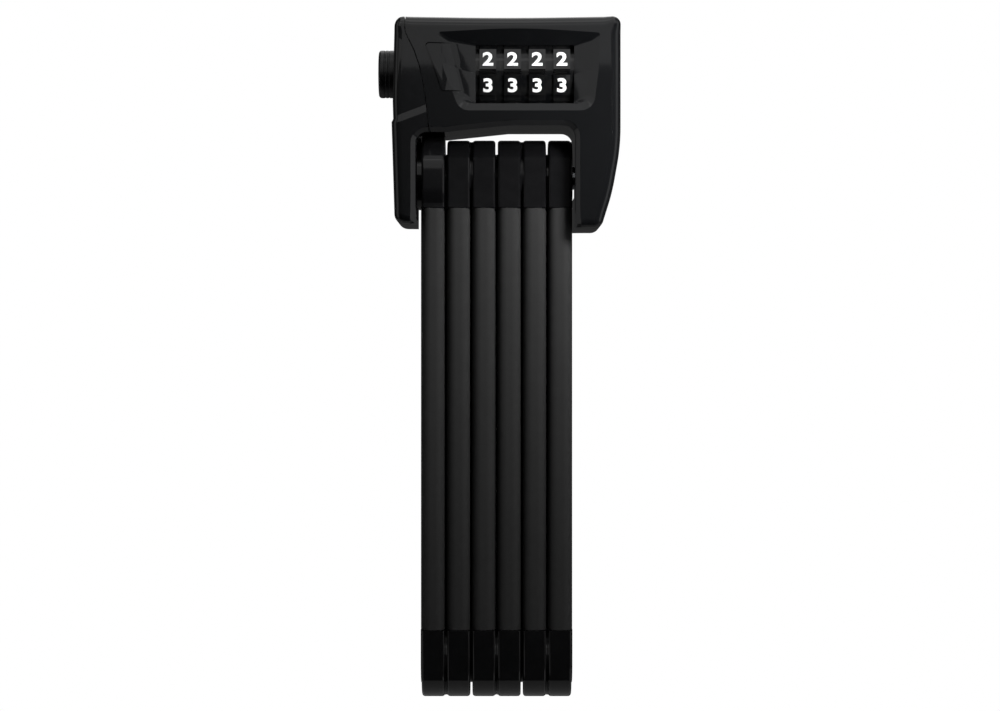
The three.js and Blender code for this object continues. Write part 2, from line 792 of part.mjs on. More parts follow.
function codeSleeve(i) {
  const x = firstDialX + i * dialPitch;
  const half = codeSleeveWidth / 2;
  const webHalf = webThickness / 2;
  const notch = finThickness / 2 + 0.35;
  return cylinderX(sleeveOuter, x - half, x + half, dialAxisY, dialAxisZ)
    .subtract(cylinderX(sleeveInner, x - half - 1, x - webHalf, dialAxisY, dialAxisZ))
    .subtract(cylinderX(sleeveInner, x + webHalf, x + half + 1, dialAxisY, dialAxisZ))
    .subtract(cylinderX(webBore, x - half - 1, x + half + 1, dialAxisY, dialAxisZ))
    .subtract(
      box(x - half, x + half, dialAxisY - notch, dialAxisY + notch, dialAxisZ, dialAxisZ + finReach + 0.2),
    );
}

function dialBarrel() {
  const x0 = springSeat + 0.3;
  const x1 = bayRight + 2.4;
  const slotHalf = finThickness / 2 + 0.3;
  return cylinderX(barrelOuter, x0, x1, dialAxisY, dialAxisZ)
    .subtract(cylinderX(barrelInner, x0 - 1, x1 + 1, dialAxisY, dialAxisZ))
    .subtract(
      box(x0 - 1, bayRight - 1, dialAxisY - slotHalf, dialAxisY + slotHalf, dialAxisZ, dialAxisZ + 10),
    );
}

// The rod that the button pushes: four fins on top, and a slanted tip that drives the bolt.
function spindle() {
  const x0 = collarRight - 0.6;
  let body = cylinderX(spindleRadius, x0, spindleTip, dialAxisY, dialAxisZ);
  for (let i = 0; i < dialCount; i++) {
    const x = finX(i);
    const half = finThickness / 2;
    body = body.add(
      box(x - half, x + half, dialAxisY - half, dialAxisY + half, dialAxisZ, dialAxisZ + finReach),
    );
  }
  const wedge = new THREE.Shape();
  const reach = 20;
  wedge.moveTo(boltX - reach, rampFoot + rampGap - reach);
  wedge.lineTo(boltX + reach, rampFoot + rampGap - reach);
  wedge.lineTo(boltX + reach, rampFoot + rampGap + reach);
  wedge.closePath();
  const clipX = hubRight + 0.3;
  const groove = cylinderX(spindleRadius + 1, clipX, clipX + 0.9, dialAxisY, dialAxisZ)
    .subtract(cylinderX(spindleRadius - 0.6, clipX - 1, clipX + 2, dialAxisY, dialAxisZ));
  return body.subtract(extrudeY(wedge, dialAxisY - 10, dialAxisY + 10)).subtract(groove);
}

function buttonClip() {
  const x0 = hubRight + 0.45;
  const x1 = hubRight + 1.05;
  return cylinderX(spindleRadius + 0.7, x0, x1, dialAxisY, dialAxisZ, 16)
    .subtract(cylinderX(spindleRadius - 0.45, x0 - 1, x1 + 1, dialAxisY, dialAxisZ, 16))
    .subtract(box(x0 - 1, x1 + 1, dialAxisY - 1.6, dialAxisY + 1.6, dialAxisZ - 10, dialAxisZ));
}

function pushButton() {
  const hubBore = spindleRadius + 0.15;
  const pairs = [
    [buttonFace, 0],
    [buttonFace, buttonRadius - buttonRounding],
    [buttonFace + 0.3 * buttonRounding, buttonRadius - 0.3 * buttonRounding],
    [buttonFace + buttonRounding, buttonRadius],
    [collarLeft, buttonRadius],
    [collarLeft, buttonRadius + buttonFlange],
    [collarRight, buttonRadius + buttonFlange],
    [collarRight, buttonHub],
    [hubRight, buttonHub],
    [hubRight, hubBore],
    [collarRight - 0.9, hubBore],
    [collarRight - 0.9, 0],
  ];
  return turnedX(pairs, dialAxisY, dialAxisZ);
}

function buttonSpring() {
  const from = hubRight + 1.4;
  const length = springSeat - 0.3 - from;
  return coilSpring(springRadius, springWire, springTurns, length, (a, b, along, target) =>
    target.set(from + along, dialAxisY + a, dialAxisZ + b),
  );
}

// Room behind the dials for their leaf spring.
function detentPocket() {
  const back = leafFace + leafThickness + 0.4;
  return box(bayLeft, bayRight, dialAxisY, back, dialAxisZ - 6.4, dialAxisZ + 6.6);
}

// The leaf spring behind the dials: one finger a dial, its bump just clear of the pads.
function detentSpring() {
  const x0 = bayLeft + 0.3;
  const x1 = bayRight - 0.3;
  let body = box(x0, x1, leafFace, leafFace + leafThickness, dialAxisZ + 4, dialAxisZ + 6.3);
  for (let i = 0; i < dialCount; i++) {
    const x = firstDialX + i * dialPitch;
    const finger = new THREE.Shape();
    finger.moveTo(leafFace, dialAxisZ + 5);
    finger.lineTo(leafFace, dialAxisZ + 1.6);
    finger.lineTo(leafFace - 0.85, dialAxisZ);
    finger.lineTo(leafFace, dialAxisZ - 1.6);
    finger.lineTo(leafFace, dialAxisZ - 6);
    finger.lineTo(leafFace + leafThickness, dialAxisZ - 6);
    finger.lineTo(leafFace + leafThickness, dialAxisZ + 5);
    finger.closePath();
    body = body.add(extrudeX(finger, x - 2, x + 2));
  }
  return body;
}

// ---------------------------------------------------------------------------------------------
// Bolt
// ---------------------------------------------------------------------------------------------

function lockingBolt() {
  const upper = new THREE.Shape();
  upper.moveTo(boltX, boltShoulderZ);
  upper.lineTo(boltRight, boltShoulderZ);
  upper.lineTo(boltRight, rampFoot + boltThickness);
  upper.lineTo(boltX, rampFoot);
  upper.closePath();
  return extrudeY(upper, boltFront, boltLegBack).add(
    box(boltX, boltRight, boltLegFront, boltLegBack, channelTop + 0.3, boltShoulderZ + 1),
  );
}

function boltSpring() {
  const from = channelTop + 2.7;
  const length = boltShoulderZ - 0.3 - from;
  const x = (boltX + boltRight) / 2;
  return coilSpring(boltSpringRadius, boltSpringWire, 6, length, (a, b, along, target) =>
    target.set(x + b, dialAxisY + 1.4 + a, from + along),
  );
}

// ---------------------------------------------------------------------------------------------
// The assembly
// ---------------------------------------------------------------------------------------------

const lock = new THREE.Group();

for (let i = 0; i < barCount; i++) {
  const number = i + 1;
  const upperRadius = i === 0 ? headRadius : barHalf;
  lock.add(part(`bar_${number}_core`, barCore(i), blackSteel));
  lock.add(part(`bar_${number}_sleeve`, barSleeve(i), softSleeve));
  lock.add(part(`bar_${number}_upper_cap`, barCap(i, topAxisZ, topSide(i), upperRadius), capPlastic));
  lock.add(part(`bar_${number}_lower_cap`, barCap(i, bottomAxisZ, bottomSide(i), barHalf), capPlastic));
}

lock.add(part("arm_rivet", armRivet(), blackSteel));
for (let i = 0; i < barCount - 1; i++) {
  const axisZ = i % 2 === 0 ? bottomAxisZ : topAxisZ;
  lock.add(part(`hinge_rivet_${i + 1}_${i + 2}`, hingeRivet(i, axisZ), blackSteel));
}
lock.add(part("locking_stud", lockingStud(), brightSteel));

lock.add(part("lock_frame", lockFrame(), blackSteel));
lock.add(part("front_cover", frontCover(), housingPlastic));
lock.add(part("back_cover", backCover(), housingPlastic));
lock.add(part("left_side_cap", leftSideCap(), housingPlastic));
lock.add(part("window_panel", windowPanel(), housingPlastic));
screwPlaces.forEach(([x, z], i) => {
  lock.add(part(`cover_screw_${i + 1}`, coverScrew(x, z), brightSteel));
});

for (let i = 0; i < dialCount; i++) {
  lock.add(part(`dial_${i + 1}`, dial(i), dialPlastic));
  lock.add(part(`code_sleeve_${i + 1}`, codeSleeve(i), brass));
}
lock.add(part("dial_barrel", dialBarrel(), brass));
lock.add(part("spindle", spindle(), brightSteel));
lock.add(part("push_button", pushButton(), buttonPlastic));
lock.add(part("button_clip", buttonClip(), springSteel));
lock.add(part("button_spring", buttonSpring(), springSteel));
lock.add(part("detent_spring", detentSpring(), springSteel));
lock.add(part("locking_bolt", lockingBolt(), brightSteel));
lock.add(part("bolt_spring", boltSpring(), springSteel));

export default lock;
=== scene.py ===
# A folding bike lock: six jacketed bars folded into a pack, hung in a moulded lock housing with
# four number dials, a push button and a stud that the housing traps.
#
# Shapes are worked out in millimetres and turned into metres when a piece is finished.
import math

import bmesh
import bpy
from mathutils import Matrix, Vector


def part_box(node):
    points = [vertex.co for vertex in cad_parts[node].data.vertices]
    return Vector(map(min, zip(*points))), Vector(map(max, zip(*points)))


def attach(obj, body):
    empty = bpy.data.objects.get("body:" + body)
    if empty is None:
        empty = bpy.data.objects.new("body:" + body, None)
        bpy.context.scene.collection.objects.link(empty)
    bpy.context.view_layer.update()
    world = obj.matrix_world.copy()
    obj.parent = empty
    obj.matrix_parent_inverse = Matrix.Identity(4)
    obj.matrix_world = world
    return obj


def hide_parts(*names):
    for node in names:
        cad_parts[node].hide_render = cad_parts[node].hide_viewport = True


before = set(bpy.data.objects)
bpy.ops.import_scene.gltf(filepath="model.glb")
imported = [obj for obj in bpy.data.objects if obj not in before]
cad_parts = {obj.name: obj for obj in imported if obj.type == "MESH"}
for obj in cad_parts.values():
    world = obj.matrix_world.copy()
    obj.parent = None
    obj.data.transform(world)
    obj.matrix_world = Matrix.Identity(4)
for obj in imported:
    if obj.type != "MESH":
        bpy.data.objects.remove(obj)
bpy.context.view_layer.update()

bl_info = {
    "name": "Folding Lock",
    "version": (1, 0, 0),
    "blender": (4, 5, 0),
    "location": "3D View > Sidebar > Folding Lock",
    "description": "Builds the visible pieces of a folding bike lock round its fixed frame",
    "category": "Object",
}

MM = 0.001

# ---------------------------------------------------------------------------------------------
# Places taken from the frame, in millimetres
# ---------------------------------------------------------------------------------------------


def box_mm(*nodes):
    """Lowest and highest corners of some nodes of the frame together."""
    corners = [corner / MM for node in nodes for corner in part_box(node)]
    low = Vector([min(c[k] for c in corners) for k in range(3)])
    high = Vector([max(c[k] for c in corners) for k in range(3)])
    return low, high


BAR_COUNT = 6
TIP_REACH = 11.0
SHOULDER_RISE = 5.3
DIAL_COUNT = 4
DIGIT_COUNT = 10
SCREW_COUNT = 3

HOUSING_LOW, HOUSING_HIGH = box_mm("front_cover", "back_cover", "left_side_cap")
LEFT = HOUSING_LOW.x
RIGHT = HOUSING_HIGH.x
TOP = HOUSING_HIGH.z
FRONT = HOUSING_LOW.y
BACK = HOUSING_HIGH.y
LEFT_ARM_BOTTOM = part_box("left_side_cap")[0].z / MM
BUTTON_LOW, BUTTON_HIGH = box_mm("push_button")
DIAL_Y = (BUTTON_LOW.y + BUTTON_HIGH.y) / 2
DIAL_Z = (BUTTON_LOW.z + BUTTON_HIGH.z) / 2
STUD_LOW, STUD_HIGH = box_mm("locking_stud")
TOP_AXIS_Z = (STUD_LOW.z + STUD_HIGH.z) / 2
LOWER_RIVET_LOW, LOWER_RIVET_HIGH = box_mm("hinge_rivet_1_2")
BOTTOM_AXIS_Z = (LOWER_RIVET_LOW.z + LOWER_RIVET_HIGH.z) / 2
FRAME_LOW, FRAME_HIGH = box_mm("lock_frame")

# Sizes of the housing that its boxes don't tell
LEFT_ARM_WIDTH = 7.2
RIGHT_ARM_WIDTH = 13.2
LEFT_INNER = LEFT + LEFT_ARM_WIDTH
RIGHT_INNER = RIGHT - RIGHT_ARM_WIDTH
ARCH_LEFT_Z = 27.8
ARCH_RIGHT_Z = 29.7
ARCH_CORNER = 3.3
COVER_WALL = 2.0
COVER_GAP = 0.3
SEAM = 0.3
BAY_LEFT = -6.06
BAY_RIGHT = 22.42
BAY_RADIUS = 13.1
WINDOW_LOW = 36.4
WINDOW_HIGH = 52.95
HEAD_POCKET = 14.0
BUTTON_HOLE = 7.2
STUD_SLOT = (9.5, 19.4)
STUD_CHANNEL = (8.3, 20.6)
SCREW_HEAD = 2.6
SCREW_SEAT_Y = 17.0
TOP_DIP = 0.5  # how far the middle of the top edge lies below the top of the box
LONG_ARC = 900.0  # radius of the edges that are nearly straight

# Sizes of the bars that their boxes don't tell
CORE_GAP = 0.15  # play between a bar's plate and its jacket or caps
CORE_EDGE = 1.25  # wall of a jacket or cap over the plate's edge
CROWN_FLAT = 6.6  # from a jacket's front to the flat of its swollen side
CROWN_START = 5.6  # from a jacket's front to where its side begins to swell
CROWN_CORNER = 2.0
PAD_INSET = 0.4
PAD_SWELL = 0.045  # how far a pad stands off further, towards the pad that it turns against
SIDE_CROWN = 0.33  # how far a bar's sides swell out, so that neighbours all but touch
END_CROWN = 0.7  # the same on the last bar, towards the right arm
BOSS_RADIUS = 6.9
HEAD_FLAT = 13.05  # from the axis to the flat front and back of the first bar's head
RIVET_RECESS = 5.95
RIVET_BORE = 3.8
RIVET_SHANK = 3.5
WELL_OUTSIDE = 30  # past anything that a cut has to reach

# Sizes of the dials and the button
DIAL_TURN = math.radians(2.2)  # how far the dials stand below their even place
DIGIT_BREADTH = 0.62  # breadth of a broad digit in the built-in lettering
FRONT_DIGIT = 2  # the digit just above the middle of the window
COLLAR_DROP = 0.9
DIAL_BORE = 8.6
RIB_DEPTH = 0.12

# Edges sharper than the first are bevelled, and those sharper than the second are creased
BEVEL_ANGLE = math.radians(40)
CREASE_ANGLE = math.radians(19)

# How finely round shapes are divided
ARC_STEPS = 8
EDGE_STEPS = 6
TURN_STEPS = 64

# ---------------------------------------------------------------------------------------------
# Settings
# ---------------------------------------------------------------------------------------------


class LockHousingSettings(bpy.types.PropertyGroup):
    """Sizes of the housing's edges."""

    top_rounding: bpy.props.FloatProperty(
        name="Top rounding", description="Rounding of the front and back edges along the top",
        default=0.0032, min=0.0005, unit="LENGTH", subtype="DISTANCE")
    side_rounding: bpy.props.FloatProperty(
        name="Side rounding", description="Rounding of the front and back edges down the sides",
        default=0.003, min=0.0005, unit="LENGTH", subtype="DISTANCE")
    arch_chamfer: bpy.props.FloatProperty(
        name="Arch chamfer", description="Flat chamfer round the opening for the bars",
        default=0.00145, min=0.0003, unit="LENGTH", subtype="DISTANCE")
    edge_bevel: bpy.props.FloatProperty(
        name="Edge softness", description="Rounding of the crisp edges and seams",
        default=0.00022, min=0.0, unit="LENGTH", subtype="DISTANCE")
    cap_step: bpy.props.FloatProperty(
        name="Side cap step", description="How far the side cap lies back above its arm",
        default=0.0005, min=0.0, unit="LENGTH", subtype="DISTANCE")


class LockBarSettings(bpy.types.PropertyGroup):
    """Sizes of the bars' jackets and ends."""

    sleeve_rounding: bpy.props.FloatProperty(
        name="Sleeve rounding", description="Rounding along the edges of a soft sleeve",
        default=0.0027, min=0.0005, unit="LENGTH", subtype="DISTANCE")
    cap_rounding: bpy.props.FloatProperty(
        name="End rounding", description="Rounding round the rim of a moulded bar end",
        default=0.00085, min=0.0003, unit="LENGTH", subtype="DISTANCE")


class LockDialSettings(bpy.types.PropertyGroup):
    """Sizes of the number dials."""

    digit_height: bpy.props.FloatProperty(
        name="Digit height", description="Height of a digit",
        default=0.0042, min=0.001, unit="LENGTH", subtype="DISTANCE")
    digit_width: bpy.props.FloatProperty(
        name="Digit width", description="Width of a broad digit",
        default=0.00395, min=0.001, unit="LENGTH", subtype="DISTANCE")
    digit_relief: bpy.props.FloatProperty(
        name="Digit relief", description="How far the digits stand off their pads",
        default=0.00008, min=0.00001, unit="LENGTH", subtype="DISTANCE")


class LockFinishSettings(bpy.types.PropertyGroup):
    """Colours of the finishes."""

    housing: bpy.props.FloatVectorProperty(
        name="Housing", description="Colour of the housing's plastic",
        default=(0.003, 0.0032, 0.0036), size=3, min=0.0, max=1.0, subtype="COLOR")
    bar_end: bpy.props.FloatVectorProperty(
        name="Bar ends", description="Colour of the moulded bar ends",
        default=(0.0038, 0.0038, 0.0042), size=3, min=0.0, max=1.0, subtype="COLOR")
    sleeve: bpy.props.FloatVectorProperty(
        name="Sleeves", description="Colour of the soft sleeves on the bars",
        default=(0.026, 0.026, 0.026), size=3, min=0.0, max=1.0, subtype="COLOR")
    digits: bpy.props.FloatVectorProperty(
        name="Digits", description="Colour of the painted digits",
        default=(0.9, 0.9, 0.9), size=3, min=0.0, max=1.0, subtype="COLOR")


class LockStageSettings(bpy.types.PropertyGroup):
    """The stage round the lock."""

    camera_distance: bpy.props.FloatProperty(
        name="Camera distance", description="From the camera to the middle of the lock",
        default=0.84, min=0.1, unit="LENGTH", subtype="DISTANCE")
    lens: bpy.props.FloatProperty(
        name="Lens", description="Focal length of the camera", default=102.9, min=10.0, unit="CAMERA")
    floor_drop: bpy.props.FloatProperty(
        name="Floor drop", description="From the lock's origin down to the floor",
        default=0.45, min=0.2, unit="LENGTH", subtype="DISTANCE")


# ---------------------------------------------------------------------------------------------
# Outlines
# ---------------------------------------------------------------------------------------------


def arc_outline(corners, steps=ARC_STEPS):
    """Points (u, v, radius) of a closed outline through corners (u, v, radius), its corners arcs."""
    points = []
    for i, (u, v, radius) in enumerate(corners):
        corner = Vector((u, v))
        back = Vector(corners[i - 1][:2]) - corner
        ahead = Vector(corners[(i + 1) % len(corners)][:2]) - corner
        if radius == 0:
            points.append((u, v, 0.0))
            continue
        half_turn = (math.pi - back.angle(ahead)) / 2
        wanted = max(radius * math.tan(half_turn), 0.05)
        reach = min(wanted, 0.49 * back.length, 0.49 * ahead.length)
        start = corner + back.normalized() * reach
        end = corner + ahead.normalized() * reach
        true_radius = reach / math.tan(half_turn) if half_turn > 1e-4 else math.inf
        for step in range(steps + 1):
            t = step / steps
            if true_radius == math.inf:
                spot = start.lerp(end, t)
            else:
                to_centre = (back.normalized() + ahead.normalized()).normalized()
                centre = corner + to_centre * true_radius / math.cos(half_turn)
                turn = math.copysign(2 * half_turn * t, (-back).cross(ahead))
                spot = centre + Matrix.Rotation(turn, 2) @ (start - centre)
            points.append((spot.x, spot.y, true_radius))
    return points


def split_long(points, longest):
    """The same outline with points added along its long straight stretches."""
    filled = []
    for i, (u, v, radius) in enumerate(points):
        filled.append((u, v, radius))
        nu, nv, _ = points[(i + 1) % len(points)]
        pieces = math.ceil(math.hypot(nu - u, nv - v) / longest)
        for k in range(1, pieces):
            t = k / pieces
            filled.append((u + (nu - u) * t, v + (nv - v) * t, math.inf))
    return filled


def inset_corners(corners, distance):
    """Corners of an anticlockwise outline moved inwards by a distance."""
    moved = []
    for i, (u, v, radius) in enumerate(corners):
        corner = Vector((u, v))
        into = (corner - Vector(corners[i - 1][:2])).normalized()
        out = (Vector(corners[(i + 1) % len(corners)][:2]) - corner).normalized()
        normal = Vector((-into.y, into.x))
        middle = (normal + Vector((-out.y, out.x))).normalized()
        spot = corner + middle * (distance / middle.dot(normal))
        convex = into.cross(out) > 0
        moved.append((spot.x, spot.y, max(radius - distance, 0) if convex else radius + distance))
    return moved


def inward(points):
    """For each point of an anticlockwise outline, the step that moves it in by one unit."""
    steps = []
    for i, (u, v, _) in enumerate(points):
        here = Vector((u, v))
        into = (here - Vector(points[i - 1][:2])).normalized()
        out = (Vector(points[(i + 1) % len(points)][:2]) - here).normalized()
        normal = Vector((-into.y, into.x))
        middle = (normal + Vector((-out.y, out.x))).normalized()
        steps.append(middle / middle.dot(normal))
    return steps


# ---------------------------------------------------------------------------------------------
# Solids, as bmeshes in millimetres
# ---------------------------------------------------------------------------------------------


def along_y(u, v, depth):
    """A place on an outline drawn in X and Z."""
    return Vector((u, depth, v))


def along_x(u, v, depth):
    """A place on an outline drawn in Y and Z."""
    return Vector((depth, u, v))


def along_z(u, v, depth):
    """A place on an outline drawn in X and Y."""
    return Vector((u, v, depth))


def grow_ring(bm, ring, places):
    """Extrudes a closed loop of vertices and moves each copy to its place."""
    edges = [bm.edges.get(pair) for pair in zip(ring, ring[1:] + ring[:1])]
    made = bmesh.ops.extrude_edge_only(bm, edges=edges)["geom"]
    fresh = {item for item in made if isinstance(item, bmesh.types.BMVert)}
    copies = []
    for old, place in zip(ring, places):
        new = next(e.other_vert(old) for e in old.link_edges if e.other_vert(old) in fresh)
        new.co = place
        copies.append(new)
    return copies


def lofted(rings):
    """A closed solid through rings of places, all with the same number of places."""
    bm = bmesh.new()
    ring = [bm.verts.new(place) for place in rings[0]]
    bm.faces.new(ring)
    for places in rings[1:]:
        ring = grow_ring(bm, ring, places)
    bm.faces.new(ring)
    bmesh.ops.recalc_face_normals(bm, faces=bm.faces)
    return bm


def prism(points, low, high, place=along_y):
    """A straight-sided solid of an outline between two depths."""
    return lofted([[place(p[0], p[1], depth) for p in points] for depth in (low, high)])


def rounded_slab(points, low, high, place, width, flat=None, steps=EDGE_STEPS):
    """A solid of an outline whose rims are rounded by width(u, v) and chamfered where flat(u, v)."""
    inner = inward(points)
    widths = [width(u, v) for u, v, _ in points]
    for _ in range(3):
        widths = [(widths[i - 1] + 2 * w + widths[(i + 1) % len(widths)]) / 4
                  for i, w in enumerate(widths)]
    widths = [min(w, 0.9 * p[2]) if p[2] > 0 else w for w, p in zip(widths, points)]
    rings = []
    for k in range(2 * steps + 2):
        front = k <= steps
        t = (steps - k) / steps if front else (k - steps - 1) / steps
        ring = []
        for (u, v, _), step, w in zip(points, inner, widths):
            chamfer = flat is not None and flat(u, v)
            inset = w * t if chamfer else w * (1 - math.cos(t * math.pi / 2))
            sink = w * (1 - t) if chamfer else w * (1 - math.sin(t * math.pi / 2))
            depth = low + sink if front else high - sink
            ring.append(place(u + step.x * inset, v + step.y * inset, depth))
        rings.append(ring)
    return lofted(rings)


def block(low, high):
    """A box between two corners."""
    bm = bmesh.new()
    bmesh.ops.create_cube(bm, size=1.0)
    low, high = Vector(low), Vector(high)
    bmesh.ops.scale(bm, vec=high - low, verts=bm.verts)
    bmesh.ops.translate(bm, vec=(low + high) / 2, verts=bm.verts)
    return bm


def turned(profile, point, axis=(1, 0, 0), steps=TURN_STEPS):
    """A solid of revolution: pairs (distance along the axis, radius), from end to end."""
    axis = Vector(axis)
    point = Vector(point)
    side = Vector((0, 0, 1))
    bm = bmesh.new()
    verts = [bm.verts.new(point + axis * t + side * r) for t, r in profile]
    edges = [bm.edges.new(pair) for pair in zip(verts, verts[1:])]
    bmesh.ops.spin(
        bm, geom=verts + edges, cent=point, axis=axis, dvec=(0, 0, 0),
        angle=2 * math.pi, steps=steps, use_merge=True)
    bmesh.ops.remove_doubles(bm, verts=bm.verts, dist=1e-4)
    bmesh.ops.recalc_face_normals(bm, faces=bm.faces)
    return bm


def rod(radius, start, end, y, z, steps=TURN_STEPS):
    """A cylinder along X."""
    return turned([(start, 0), (start, radius), (end, radius), (end, 0)], (0, y, z), steps=steps)


def as_object(name, bm):
    """Turns a bmesh into an object of the scene."""
    mesh = bpy.data.meshes.new(name)
    bm.to_mesh(mesh)
    bm.free()
    obj = bpy.data.objects.new(name, mesh)
    bpy.context.scene.collection.objects.link(obj)
    return obj


def add_shape(bm, shape):
    """Copies a shape into a bmesh beside what it holds, and frees the shape."""
    mesh = bpy.data.meshes.new("shape")
    shape.to_mesh(mesh)
    shape.free()
    bm.from_mesh(mesh)
    bpy.data.meshes.remove(mesh)


def combine(body, tool, operation):
    """Joins two bmeshes, cuts the second from the first, or keeps what they share."""
    host = as_object("host", body)
    other = as_object("tool", tool)
    modifier = host.modifiers.new("Combine", "BOOLEAN")
    modifier.object = other
    modifier.operation = operation
    modifier.solver = "EXACT"
    bpy.context.view_layer.update()
    solved = host.evaluated_get(bpy.context.evaluated_depsgraph_get())
    result = bmesh.new()
    result.from_mesh(solved.to_mesh())
    solved.to_mesh_clear()
    for obj in (host, other):
        mesh = obj.data
        bpy.data.objects.remove(obj)
        bpy.data.meshes.remove(mesh)
    if not result.faces:
        raise RuntimeError("nothing is left of a shape after " + operation)
    return result


def cut(body, *tools):
    """A shape with others taken out of it."""
    for tool in tools:
        body = combine(body, tool, "DIFFERENCE")
    return body


def join(body, *others):
    """Several shapes as one."""
    for other in others:
        body = combine(body, other, "UNION")
    return body


def shared(body, *others):
    """What a shape and others have in common."""
    for other in others:
        body = combine(body, other, "INTERSECT")
    return body


def finished(name, bm, body, material, nodes=(), bevel=0.2, segments=2):
    """Makes the finished piece: in metres, shaded, with soft edges, riding on its body."""
    bmesh.ops.remove_doubles(bm, verts=bm.verts, dist=2e-4)
    bmesh.ops.dissolve_degenerate(bm, dist=2e-4, edges=bm.edges)
    bmesh.ops.scale(bm, vec=(MM, MM, MM), verts=bm.verts)
    for face in bm.faces:
        face.smooth = True
    for edge in bm.edges:
        angle = edge.calc_face_angle(0.0)
        limit = BEVEL_ANGLE if bevel else math.inf
        edge.smooth = not CREASE_ANGLE < angle < limit
    obj = as_object(name, bm)
    obj.data.materials.append(material)
    if bevel:
        softness = obj.modifiers.new("Soft edges", "BEVEL")
        softness.width = bevel * MM
        softness.segments = segments
        softness.profile = 0.5
        softness.limit_method = "ANGLE"
        softness.angle_limit = BEVEL_ANGLE
        softness.use_clamp_overlap = True
    shading = obj.modifiers.new("Even shading", "WEIGHTED_NORMAL")
    shading.keep_sharp = True
    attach(obj, body)
    if nodes:
        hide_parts(*nodes)
    return obj


# ---------------------------------------------------------------------------------------------
# Node groups that the finishes share
# ---------------------------------------------------------------------------------------------


def add_node(tree, kind, values=None, **settings):
    """A new node with its settings and the values of its input sockets."""
    made = tree.nodes.new(kind)
    for key, value in settings.items():
        setattr(made, key, value)
    for key, value in (values or {}).items():
        made.inputs[key].default_value = value
    return made


def new_group(name, inputs, outputs):
    """An empty shader node group with named inputs (name, default) and named float outputs."""
    group = bpy.data.node_groups.new(name, "ShaderNodeTree")
    for label, default in inputs:
        socket = group.interface.new_socket(label, in_out="INPUT", socket_type="NodeSocketFloat")
        socket.default_value = default
    for label in outputs:
        group.interface.new_socket(label, in_out="OUTPUT", socket_type="NodeSocketFloat")
    return group, group.nodes.new("NodeGroupInput"), group.nodes.new("NodeGroupOutput")


def grain_group():
    """Moulded grain: a fine height, and a broad mask for slow changes over the surface."""
    found = bpy.data.node_groups.get("moulded grain")
    if found:
        return found
    group, given, result = new_group(
        "moulded grain", [("Grain scale", 3000.0), ("Broad scale", 40.0)], ["Height", "Broad"])
    link = group.links.new
    place = add_node(group, "ShaderNodeTexCoord")
    fine = add_node(group, "ShaderNodeTexNoise", {"Detail": 3.0, "Roughness": 0.55})
    broad = add_node(group, "ShaderNodeTexNoise", {"Detail": 4.0, "Roughness": 0.6})
    pits = add_node(group, "ShaderNodeTexVoronoi")
    shallow = add_node(group, "ShaderNodeMath", {1: 0.5}, operation="MULTIPLY")
    both = add_node(group, "ShaderNodeMath", operation="ADD")
    for texture in (fine, broad, pits):
        link(place.outputs["Object"], texture.inputs["Vector"])
    link(given.outputs["Grain scale"], fine.inputs["Scale"])
    link(given.outputs["Grain scale"], pits.inputs["Scale"])
    link(given.outputs["Broad scale"], broad.inputs["Scale"])
    link(pits.outputs["Distance"], shallow.inputs[0])
    link(fine.outputs["Fac"], both.inputs[0])
    link(shallow.outputs[0], both.inputs[1])
    link(both.outputs[0], result.inputs["Height"])
    link(broad.outputs["Fac"], result.inputs["Broad"])
    return group


def wear_group():
    """Edge wear: a mask that is strong on edges that stand out, broken up by noise."""
    found = bpy.data.node_groups.get("edge wear")
    if found:
        return found
    group, given, result = new_group(
        "edge wear", [("Start", 0.53), ("Full", 0.62), ("Break-up scale", 400.0)], ["Mask"])
    link = group.links.new
    shape = add_node(group, "ShaderNodeNewGeometry")
    place = add_node(group, "ShaderNodeTexCoord")
    reach = add_node(group, "ShaderNodeMapRange")
    noise = add_node(group, "ShaderNodeTexNoise", {"Detail": 4.0, "Roughness": 0.65})
    patches = add_node(group, "ShaderNodeMapRange", {"From Min": 0.4, "From Max": 0.62})
    both = add_node(group, "ShaderNodeMath", operation="MULTIPLY")
    link(shape.outputs["Pointiness"], reach.inputs["Value"])
    link(given.outputs["Start"], reach.inputs["From Min"])
    link(given.outputs["Full"], reach.inputs["From Max"])
    link(place.outputs["Object"], noise.inputs["Vector"])
    link(given.outputs["Break-up scale"], noise.inputs["Scale"])
    link(noise.outputs["Fac"], patches.inputs["Value"])
    link(reach.outputs["Result"], both.inputs[0])
    link(patches.outputs["Result"], both.inputs[1])
    link(both.outputs[0], result.inputs["Mask"])
    return group


